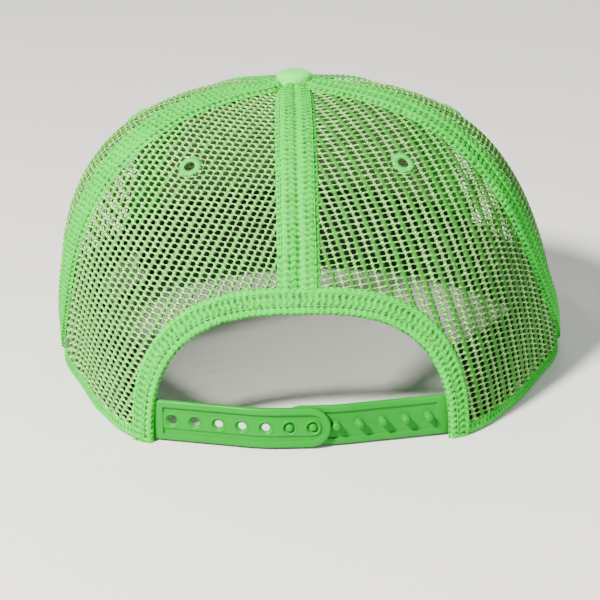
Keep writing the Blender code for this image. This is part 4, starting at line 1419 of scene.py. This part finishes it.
def area_light(name, away, size, power, colour=(1, 1, 1)):
    """A round light, aimed at the cap from a distance away from it."""
    aim = Vector(AXIS) + Vector((0, 0, AIM_HEIGHT))
    light = bpy.data.lights.new(name, "AREA")
    light.shape = "DISK"
    light.size = size
    light.energy = power
    light.color = colour
    obj = bpy.data.objects.new(name, light)
    obj.location = aim + Vector(away)
    obj.rotation_euler = (aim - obj.location).to_track_quat("-Z", "Y").to_euler()
    bpy.context.scene.collection.objects.link(obj)


def make_light():
    """A small warm key from the upper left of the picture, a cool fill and a rim light."""
    area_light("key", (0.75, 0.85, 1.0), 0.24, 96.0, (1.0, 0.97, 0.91))
    area_light("fill", (-1.1, 0.7, 0.6), 1.2, 9.0, (0.93, 0.96, 1.0))
    area_light("back", (-0.2, -1.2, 0.9), 1.0, 7.0)


def make_camera():
    """At the height, distance and framing of the reference view, a little right of centre back."""
    elevation, turn = radians(ELEVATION), radians(TURN)
    target = AXIS + np.array((0, 0, AIM_HEIGHT))
    forward = -np.array((sin(turn) * cos(elevation), cos(turn) * cos(elevation), sin(elevation)))
    right = np.cross(forward, (0, 0, 1))
    right /= np.linalg.norm(right)
    up = np.cross(right, forward)
    aim = forward + right * (PICTURE / 2 - CENTRE_X) / FOCAL - up * (PICTURE / 2 - CENTRE_Y) / FOCAL
    camera = bpy.data.cameras.new("camera")
    camera.sensor_width = 36.0
    camera.lens = FOCAL / PICTURE * camera.sensor_width
    obj = bpy.data.objects.new("camera", camera)
    obj.location = Vector(target - forward * DISTANCE)
    facing = Vector(aim).to_track_quat("-Z", "Y") @ Quaternion((0, 0, 1), radians(-ROLL))
    obj.rotation_euler = facing.to_euler()
    bpy.context.scene.collection.objects.link(obj)
    bpy.context.scene.camera = obj


# Cut sizes of the cloth pieces: width, length, and area where the cut isn't a rectangle.
SHEETS = {
    "rear_mesh_*_made": (0.115, 0.140, 0.0118),
    "side_mesh_*_made": (0.105, 0.140, 0.0112),
    "front_panel_*_made": (0.080, 0.140, 0.0075),
    "front_backing_*_made": (0.078, 0.138, 0.0073),
    "center_back_seam_band_made": (0.0158, 0.100),
    "rear_seam_band_*_made": (0.0158, 0.170),
    "center_back_seam_band_inside_tape": (0.011, 0.100),
    "rear_seam_band_*_inside_tape": (0.011, 0.170),
    "center_front_seam_tape_made": (0.0116, 0.138),
    "front_seam_tape_*_made": (0.0176, 0.142),
    "rim_hem_*_made": (0.0116, 0.165),
    "opening_binding_made": (0.0192, 0.183),
    "sweatband_made": (0.032, 0.500),
    "care_label_made": (0.017, 0.028),
    "button_cover_made": (0.021, 0.021, 0.000346),
    "brim_top_cover_made": (0.080, 0.187, 0.0118),
    "brim_under_cover_made": (0.080, 0.187, 0.0118),
}


def declare_sheets():
    """Looks up each cloth piece by its name; a name with * stands for its left and its right piece."""
    for pattern, (width, length, *area) in SHEETS.items():
        for side in ("left", "right") if "*" in pattern else ("",):
            piece = bpy.data.objects[pattern.replace("*", side)]
            area[0] if area else None


def paint_carried_nodes():
    """The board and the rivet stay as the CAD has them, in these looks."""
    for name, look in {"brim_board": BOARD, "button_rivet": METAL}.items():
        for material_slot in frame["nodes"][name].material_slots:
            material_slot.material = look


make_camera()
make_stage()
make_light()
make_mesh_panels()
make_bands()
make_hem()
make_front()
for tape_side, tape_seam in (("left", FRONT_SEAM), ("right", -FRONT_SEAM)):
    inside_tape("front_seam_tape_" + tape_side, tape_seam, 17.6 * MM, TAPE, THREAD)
inside_tape("center_front_seam_tape", 180.0, 11.6 * MM, WHITE, WHITE_THREAD)
make_binding()
make_sweatband()
make_label()
make_button()
make_eyelets()
make_strap("female", 1, -11.0 * MM, 2.0 * MM, GAP, 0.90 * MM)
make_strap("male", -1, -7.5 * MM, 1.7 * MM, -1.7 * MM, 0.65 * MM)
make_brim()
paint_carried_nodes()
declare_sheets()
